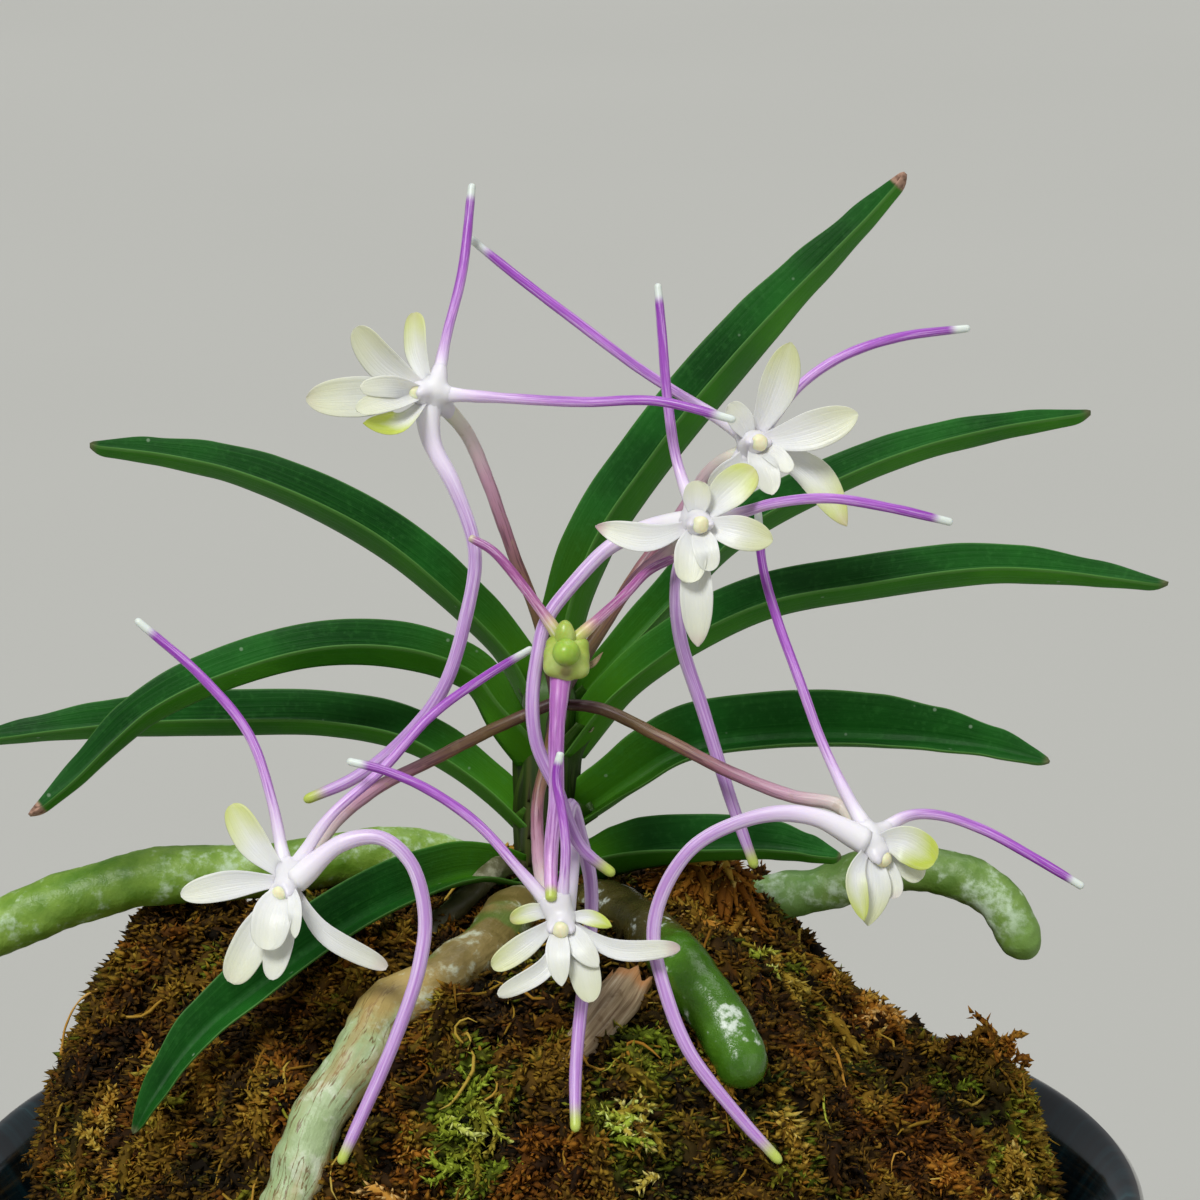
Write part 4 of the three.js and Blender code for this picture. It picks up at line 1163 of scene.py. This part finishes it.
HUSK_LINE = [(9.5, -27, 111), (6.2, -33.5, 108.6), (2, -39, 104.8)]
HUSK_WIDTHS = [4.5, 5.2, 4.8, 4, 1.6]
HUSK_THICKNESS = 1.3
HUSK_EDGE = 0.7
HUSK_TORN = 0.1  # of its length, from the open end


def husk():
    """A dry sheath, arched over, torn at its open end and pointed at the other."""
    skin = Skin()
    line = laid(HUSK_LINE, world)
    back = (line[0] - line[1]).normalized()

    def shape(share):
        half = 0.5 * MM * sampled(HUSK_WIDTHS, share)
        return half, -0.55 * half, HUSK_THICKNESS * MM, HUSK_EDGE * MM, 1.5

    def wave(share, x):
        crease = math.sin(9 * x + 3 * share) + 0.6 * math.sin(17 * x - 4 * share)
        return 0.2 * MM * crease

    blade(skin, line, evenly(40), Vector((0, -0.6, 0.8)), shape, sides=40, wave=wave)
    for index, (x, _, share) in enumerate(skin.grain):
        if share < HUSK_TORN:
            tear = noise.noise(Vector((4 * x, 0, 1.7))) + 0.5 * noise.noise(Vector((11 * x, 0, 5)))
            skin.points[index] += back * MM * tear * (HUSK_TORN - share) * 14
    skin.piece("dry_sheath_husk", [husk_paint()], "dry_sheath", "dry_sheath")


def roots():
    paints = [
        root_paint("green", ("4a760e", "8fb043"), ("4a760e", "8fb043"), 0.5, "c2d8b8", 0.6),
        root_paint("pale", ("53802e", "84a85a"), ("476f18", "7e9c4c"), 0.5, "c4d8bc", 0.75),
        root_paint("old", ("6a5c24", "a8945a"), ("93ab70", "b4c69a"), 0.5, "d3dcc0", 0.5, crack=0.9),
        root_paint("wet", ("37331a", "5f5728"), ("335c10", "4e7c1e"), 0.55, "e2ece0", 0.1, gloss=0.2),
        root_paint("grey", ("3f4022", "6a6846"), ("3f4022", "6a6846"), 0.5, "a3a288", 0.6),
    ]
    for number, (shape, paint) in enumerate(zip(ROOTS, paints), 1):
        root(number, *shape, paint)
    husk()


# ---------------------------------------------------------------- moss

BACK_DROP = 10  # how much lower the mound is behind, and on the right
RIGHT_DROP = 12
# Heaps of the moss: x, y, radius, height.
HEAPS = [(16.5, -2, 7.5, 6), (-49, 1, 16, 10.5), (50, -4, 9, 9), (10, -44, 10, 2)]
CLUMP_HEIGHT = 1.6


def clump(x, y):
    """The waves that lift the skin of the moss, as in the solids."""
    coarse = math.sin(x * 0.31 + 1.3) * math.cos(y * 0.27 - 0.6) + math.sin((x + y) * 0.19 + 2.1)
    fine = math.sin(x * 0.83 - y * 0.41) * math.sin(y * 0.77 + x * 0.29 + 0.9)
    return CLUMP_HEIGHT * (0.7 * coarse + 0.8 * fine)


def mound(x, y):
    """Height of the mound above the rim, as in the solids."""
    share = min(1.0, math.hypot(x, y) / MOSS_RADIUS)
    height = MOSS_HEIGHT - BACK_DROP * eased(2, 30, y) - RIGHT_DROP * eased(18, 40, x)
    height *= 1 - share ** 4
    for heap_x, heap_y, radius, rise in HEAPS:
        reach = min(1.0, math.hypot(x - heap_x, y - heap_y) / radius)
        height += rise * (1 - reach * reach) ** 2
    return height + clump(x, y)


LUMP_HEIGHT = 2.8
LUMP_SIZES = ((7.5, 0.65), (3.1, 0.35))  # how wide the lumps of the moss are, and their share
WARP = 2.4  # how far noise shifts them, in features of WARP_SIZE
WARP_SIZE = 6
WARP_SEED = 1  # without it noise_vector would differ from run to run


def lump(x, y):
    """How high a place is on the lumps of the moss, from 0 in the creases to 1 on top, and two
    numbers from -1 to 1 that are the lump's own."""
    place = Vector((x, y, 0))
    place = place + noise.noise_vector(place / WARP_SIZE) * WARP
    height = 0.0
    for size, weight in LUMP_SIZES:
        (nearest, second, *_), (middle, *_) = noise.voronoi(place / size)
        height += weight * min(1.0, 1.7 * (second - nearest))
    seed = 127.1 * middle.x + 311.7 * middle.y
    return height, math.sin(seed), math.sin(2.7 * seed + 1)


def moss_top(x, y):
    """Height of the moss over a place, in millimetres."""
    fine = 0.4 * noise.noise(Vector((x, y, 9)) / 1.7)
    return POT_HEIGHT + mound(x, y) + LUMP_HEIGHT * (lump(x, y)[0] ** 0.7 - 0.7) + fine


def moss_normal(x, y):
    step = 1.2
    fall_x = moss_top(x - step, y) - moss_top(x + step, y)
    fall_y = moss_top(x, y - step) - moss_top(x, y + step)
    return Vector((fall_x, fall_y, 2 * step)).normalized()


BED_SIDES = 260
BED_RINGS = 100
# The bed below its edge: how deep under the rim, and its radius as a share of the moss radius.
BED_FOOT = ((14, 0.9), (8, 0.985), (3, 0.995))


def moss_bed(paint):
    skin = Skin()
    section = circle(BED_SIDES)

    def ring(share, height_at):
        places = [(x * MOSS_RADIUS * share, y * MOSS_RADIUS * share) for x, y in section]
        return [world((x, y, height_at(x, y))) for x, y in places]

    rings = [ring(share, lambda x, y, depth=depth: POT_HEIGHT - depth) for depth, share in BED_FOOT]
    rings.extend(ring(step / BED_RINGS, moss_top) for step in range(BED_RINGS, 0, -1))
    skin.loft(rings, section, evenly(len(rings) - 1))
    skin.grain = [(x, y, 0) for x, y, _ in skin.grain]
    skin.tone = []
    skin.accent = []
    for place in skin.points:
        x, y = place.x / MM, place.y / MM
        # Painted shade: the bed is darker than the moss on it, and nearly black where it goes down by
        # the pot wall.
        rim = eased(0.94, 0.985, math.hypot(x, y) / MOSS_RADIUS)
        skin.tone.append(mixed(tone_and_crease_shade(x, y) - 0.1, 0.06, rim))
        skin.accent.append(tint(x, y))
    skin.piece("moss_bed", [paint], "moss", "moss_mound")


# Patches of the moss: x, y, radius, and how green they are, or how rusty if negative.
MOSS_PATCHES = [
    (-8, -42, 7, 0.9), (10, -40, 8, 0.5), (16, -47, 8, 0.5), (28, -30, 8, 0.3), (24, -14, 7, 0.6),
    (0, -48, 6, -0.9), (-14, -46, 5, -0.9), (34, -30, 9, -1.0), (36, -6, 6, -0.8), (44, -20, 8, -0.9),
    (27, 4, 6, -0.6), (16, -3, 8, -0.8), (-47, -8, 7, -0.5), (-30, -20, 9, -0.5), (-18, -18, 8, -0.6),
]


def tint(x, y):
    """How fresh the moss is at a place, from -1, rusty, to 1, green."""
    value = 0.7 * noise.noise(Vector((x, y, 40)) / 9) + 0.4 * lump(x, y)[2] - 0.05
    for patch_x, patch_y, radius, strength in MOSS_PATCHES:
        reach = math.hypot(x - patch_x, y - patch_y) / radius
        value += strength * max(0.0, 1 - reach * reach)
    return value


def tone_and_crease_shade(x, y):
    """How light the moss is at a place: painted shade darkens it in the creases, and it is lighter on
    the lumps, with each lump's own tone.
    """
    height, own, _ = lump(x, y)
    return 0.08 + 0.52 * height ** 1.2 + 0.12 * own


LEAFLET_WIDTH = 0.7  # as a share of its length
LEAFLET_FACES = ((0, 1, 2), (0, 3, 1), (1, 3, 2), (2, 3, 0))


def leaflet(skin, foot, direction, normal, size, tone, accent):
    """A little pointed leaf, keeled along its middle and so many millimetres long."""
    length = size * MM
    width = LEAFLET_WIDTH * length
    side = direction.cross(normal).normalized() * width / 2
    first = len(skin.points)
    waist = foot + direction * length * 0.42 - normal * width * 0.4
    skin.points.extend((foot, waist - side, waist + side, foot + direction * length))
    skin.faces.extend(tuple(first + corner for corner in face) for face in LEAFLET_FACES)
    skin.grain.extend(((0, 0, 0), (-1, 0, 0.4), (1, 0, 0.4), (0, 0, 1)))
    skin.tone.extend([tone] * 4)
    skin.accent.extend([accent] * 4)
    skin.kinds.extend([0] * 4)


BRANCH_STEPS = 6
BRANCH_OUTLINE = [0.55, 0.95, 1.1, 0.9, 0.95, 0.7, 0.25]


def branch(skin, leaves, rng, x, y, heading, length, radius, tone, accent, scales, lift, hug=0.7):
    """A branch of moss, which winds over the lumps under its scales. Lengths are millimetres."""
    place = Vector((x, y, moss_top(x, y) + lift))
    turn = rng.gauss(0, 0.35)
    stride = length / BRANCH_STEPS
    path = []
    for _ in range(BRANCH_STEPS + 1):
        path.append(place * MM)
        normal = moss_normal(place.x, place.y)
        drift = normal.cross(heading) * (turn + rng.gauss(0, 0.25))
        heading = (heading + drift - normal * hug * heading.dot(normal)).normalized()
        place = place + heading * stride
        place.z = mixed(place.z, moss_top(place.x, place.y) + lift, 0.3 * hug)
    section = circle(5)
    frames = frames_along(path)
    rings = []
    for middle, (side, up), swell in zip(path, frames, BRANCH_OUTLINE):
        reach = radius * swell * MM
        rings.append([middle + side * x * reach + up * y * reach for x, y in section])
    skin.loft(rings, section, evenly(BRANCH_STEPS), tone=tone - 0.1, accent=accent)
    ahead = directions(path)
    for scale in range(scales):
        share = (scale + 0.5) / scales * BRANCH_STEPS
        step = min(int(share), BRANCH_STEPS - 1)
        side, up = frames[step]
        angle = 2.4 * scale
        out = side * math.cos(angle) + up * math.sin(angle)
        foot = path[step].lerp(path[step + 1], share - step) + out * radius * 0.8 * MM
        direction = (ahead[step] * 0.8 + out * rng.uniform(0.2, 0.8)).normalized()
        size = rng.uniform(0.7, 1.3)
        shade = tone + rng.gauss(0.05, 0.05)
        leaflet(leaves, foot, direction, out, size, shade, accent)


def scatter(rng, count, farthest, inside=lambda x, y: True):
    """Places on the bed, spread evenly over its sloping surface."""
    found = 0
    while found < count:
        reach = MOSS_RADIUS * farthest * math.sqrt(rng.random())
        angle = rng.uniform(0, 2 * math.pi)
        x = reach * math.cos(angle)
        y = reach * math.sin(angle)
        if inside(x, y) and rng.random() * moss_normal(x, y).z < 0.35:
            found += 1
            yield x, y


def level(bearing, rise=0.0):
    return Vector((math.cos(bearing), math.sin(bearing), rise))


def any_way(rng, *rises):
    """A random direction, level or rising by something between two values."""
    bearing = rng.uniform(0, 2 * math.pi)
    return level(bearing, rng.uniform(*rises) if rises else 0.0)


def moss_branches(name, seed, count, scales, paint, inside):
    """A cover of branches, with their scales as a piece of its own."""
    rng = random.Random(seed)
    skin = Skin()
    leaves = Skin()
    for x, y in scatter(rng, count, 0.985, inside):
        heading = any_way(rng, 0, 0.6)
        accent = tint(x, y) + rng.gauss(0, 0.2)
        tone = tone_and_crease_shade(x, y) + rng.gauss(0.02, 0.08)
        branch(skin, leaves, rng, x, y, heading, rng.uniform(2.5, 6), rng.uniform(0.35, 0.75), tone,
               accent, scales, rng.uniform(-0.3, 0.5))
    skin.piece(f"moss_branches_{name}", [paint], "moss")
    leaves.piece(f"moss_scales_{name}", [paint], "moss")


def moss_litter(name, seed, count, paint, inside):
    """Loose leaves that lie between the branches."""
    rng = random.Random(seed)
    skin = Skin()
    for x, y in scatter(rng, count, 0.995, inside):
        normal = moss_normal(x, y)
        foot = world((x, y, moss_top(x, y) + rng.uniform(-0.1, 0.4)))
        direction = (any_way(rng) + normal * rng.uniform(-0.1, 0.7)).normalized()
        size = rng.uniform(0.9, 1.9)
        tone = tone_and_crease_shade(x, y) + rng.gauss(0.04, 0.05)
        accent = tint(x, y) + rng.gauss(0, 0.2)
        leaflet(skin, foot, direction, normal, size, tone, accent)
    skin.piece(f"moss_litter_{name}", [paint], "moss")


SKIRT_LEAVES = 4000
SKIRT_SEED = 6
THREADS = 300
THREAD_SEED = 4
STRAND_LINE = [(-54, -1, 91.5), (-53.4, -0.8, 95), (-51.8, -0.4, 97.8), (-49.8, 0, 99)]
STRAND_RADIUS = 0.2


def moss_skirt(paint):
    """Leaves that hang over the edge of the bed."""
    rng = random.Random(SKIRT_SEED)
    skin = Skin()
    for _ in range(SKIRT_LEAVES):
        out = any_way(rng)
        x, y = out.x * MOSS_RADIUS, out.y * MOSS_RADIUS
        foot = world((x, y, rng.uniform(POT_HEIGHT - 4, moss_top(x, y) + 0.5)))
        direction = (out * 0.7 + any_way(rng, -1, 0.6)).normalized()
        leaflet(skin, foot, direction, out, rng.uniform(1.1, 2.1), rng.gauss(0.2, 0.1), tint(x, y))
    skin.piece("moss_skirt", [paint], "moss")


def moss_fibres(paint):
    """Thin dry threads, and one longer strand that stands off on the left."""
    rng = random.Random(THREAD_SEED)
    skin = Skin()
    for x, y in scatter(rng, THREADS, 0.97):
        branch(skin, skin, rng, x, y, any_way(rng, 0, 0.3), rng.uniform(4, 8), rng.uniform(0.12, 0.2),
               rng.uniform(0.5, 0.85), rng.gauss(-0.2, 0.3), 0, 0.9)
    rod(skin, laid(STRAND_LINE, world), lambda share: STRAND_RADIUS * MM * mixed(1, 0.5, share),
        evenly(20), sides=8, rough=uneven(0.1, 1.2), tone=0.8, accent=-0.7)
    skin.piece("moss_fibres", [paint], "moss")


# Tufts that stand out: x, y, spread, bearing and how far it varies, rise, count, length, radius,
# tone and how green they are.
TUFTS = [
    (16.5, -1, 5.5, -1.57, 0.35, -0.3, 130, (5, 9), (0.35, 0.7), 0.45, -0.7),
    (-8, -41, 2.6, -1.0, 0.8, 0.3, 20, (4, 6.5), (0.25, 0.4), 0.6, 0.75),
    (10, -44, 3.5, -1.3, 2.0, 0.4, 14, (3, 5), (0.3, 0.5), 0.65, 0.4),
    (25, -13, 2.5, 1.6, 1.8, 0.8, 16, (3, 5), (0.3, 0.5), 0.6, 0.5),
    (36, -6, 1.6, 1.2, 1.2, 0.9, 14, (3.5, 5.5), (0.35, 0.6), 0.66, -1.0),
    (50, -5, 2, 0.6, 0.9, 0.9, 12, (3.5, 6), (0.3, 0.5), 0.6, -0.8),
    (52, -14, 2, -0.3, 0.9, 0.5, 12, (3, 5), (0.3, 0.5), 0.6, -0.2),
    (-47, -18, 3, 2.9, 0.9, 0.5, 14, (3, 5), (0.3, 0.45), 0.6, -0.4),
]
TUFT_SCALES = 16
TUFT_SEED = 5


def moss_tufts(paint):
    rng = random.Random(TUFT_SEED)
    skin = Skin()
    for x, y, spread, bearing, swing, rise, count, lengths, radii, tone, accent in TUFTS:
        for _ in range(count):
            heading = level(rng.gauss(bearing, swing), rise * rng.uniform(0.5, 1.5))
            branch(skin, skin, rng, rng.gauss(x, spread / 2), rng.gauss(y, spread / 2), heading,
                   rng.uniform(*lengths), rng.uniform(*radii), rng.gauss(tone, 0.12),
                   rng.gauss(accent, 0.25), TUFT_SCALES, rng.uniform(0.3, 1.2), hug=0.35)
    skin.piece("moss_tufts", [paint], "moss")


# The cover of the bed, thinner at the back: name, seed, where it is, branches, scales on each and
# loose leaves.
BACK_START = 6
MOSS_COVER = (
    ("front", 1, lambda x, y: y < BACK_START, 1900, 22, 33500),
    ("back", 2, lambda x, y: y >= BACK_START, 900, 12, 12000),
)


def moss():
    noise.seed_set(WARP_SEED)
    paint = moss_paint()
    moss_bed(paint)
    for name, seed, inside, count, scales, leaves in MOSS_COVER:
        moss_branches(name, seed, count, scales, paint, inside)
        moss_litter(name, seed + 10, leaves, paint, inside)
    moss_skirt(paint)
    moss_fibres(paint)
    moss_tufts(paint)


# ---------------------------------------------------------------- pot

POT_OUTLINE = [
    (FOOT_RADIUS - 1, 0), (FOOT_RADIUS, 1), (FOOT_RADIUS + 1.5, 6), (FOOT_RADIUS + 8, 23),
    (FOOT_RADIUS + 14, 43), (FOOT_RADIUS + 18, 59), (RIM_RADIUS - 4, POT_HEIGHT - 9),
    (RIM_RADIUS, POT_HEIGHT - 4), (RIM_RADIUS - 0.4, POT_HEIGHT - 0.6), (RIM_RADIUS - 2, POT_HEIGHT),
    (MOSS_RADIUS + 4, POT_HEIGHT - 6), (MOSS_RADIUS - 1.5, POT_HEIGHT - 15), (FOOT_RADIUS + 9, 43),
    (FOOT_RADIUS + 3, 23), (FOOT_RADIUS - 6, FLOOR_THICKNESS),
]
POT_SIDES = 160
POT_RINGS = 130
GLAZE_LINE = 4.5  # the foot below it is bare clay


def pot():
    section = circle(POT_SIDES)
    outline = [Vector((radius, 0, height)) for radius, height in POT_OUTLINE]
    rings = []
    for middle in spline(outline, evenly(POT_RINGS)):
        rings.append([world((x * middle.x, y * middle.x, middle.z)) for x, y in section])
    skin = Skin()
    skin.loft(rings, section, evenly(POT_RINGS))
    skin.accent = [eased(RIM_RADIUS - 2.5, RIM_RADIUS, math.hypot(p.x, p.y) / MM) for p in skin.points]
    for index, face in enumerate(skin.faces):
        heights = [skin.points[corner].z / MM for corner in face]
        outer = math.hypot(skin.points[face[0]].x, skin.points[face[0]].y) / MM > FOOT_RADIUS - 4
        if max(heights) < GLAZE_LINE and (outer or len(face) > 4):
            skin.kinds[index] = 1
    skin.piece("pot_glazed", [glaze_paint(), clay_paint()], "glaze", "pot")


# ---------------------------------------------------------------- the whole

add_camera()
add_stage()
blooms()
bud_and_stalk()
foliage()
roots()
moss()
pot()

boxes = [[list(corner) for corner in box] for box in (cad_box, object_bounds())]
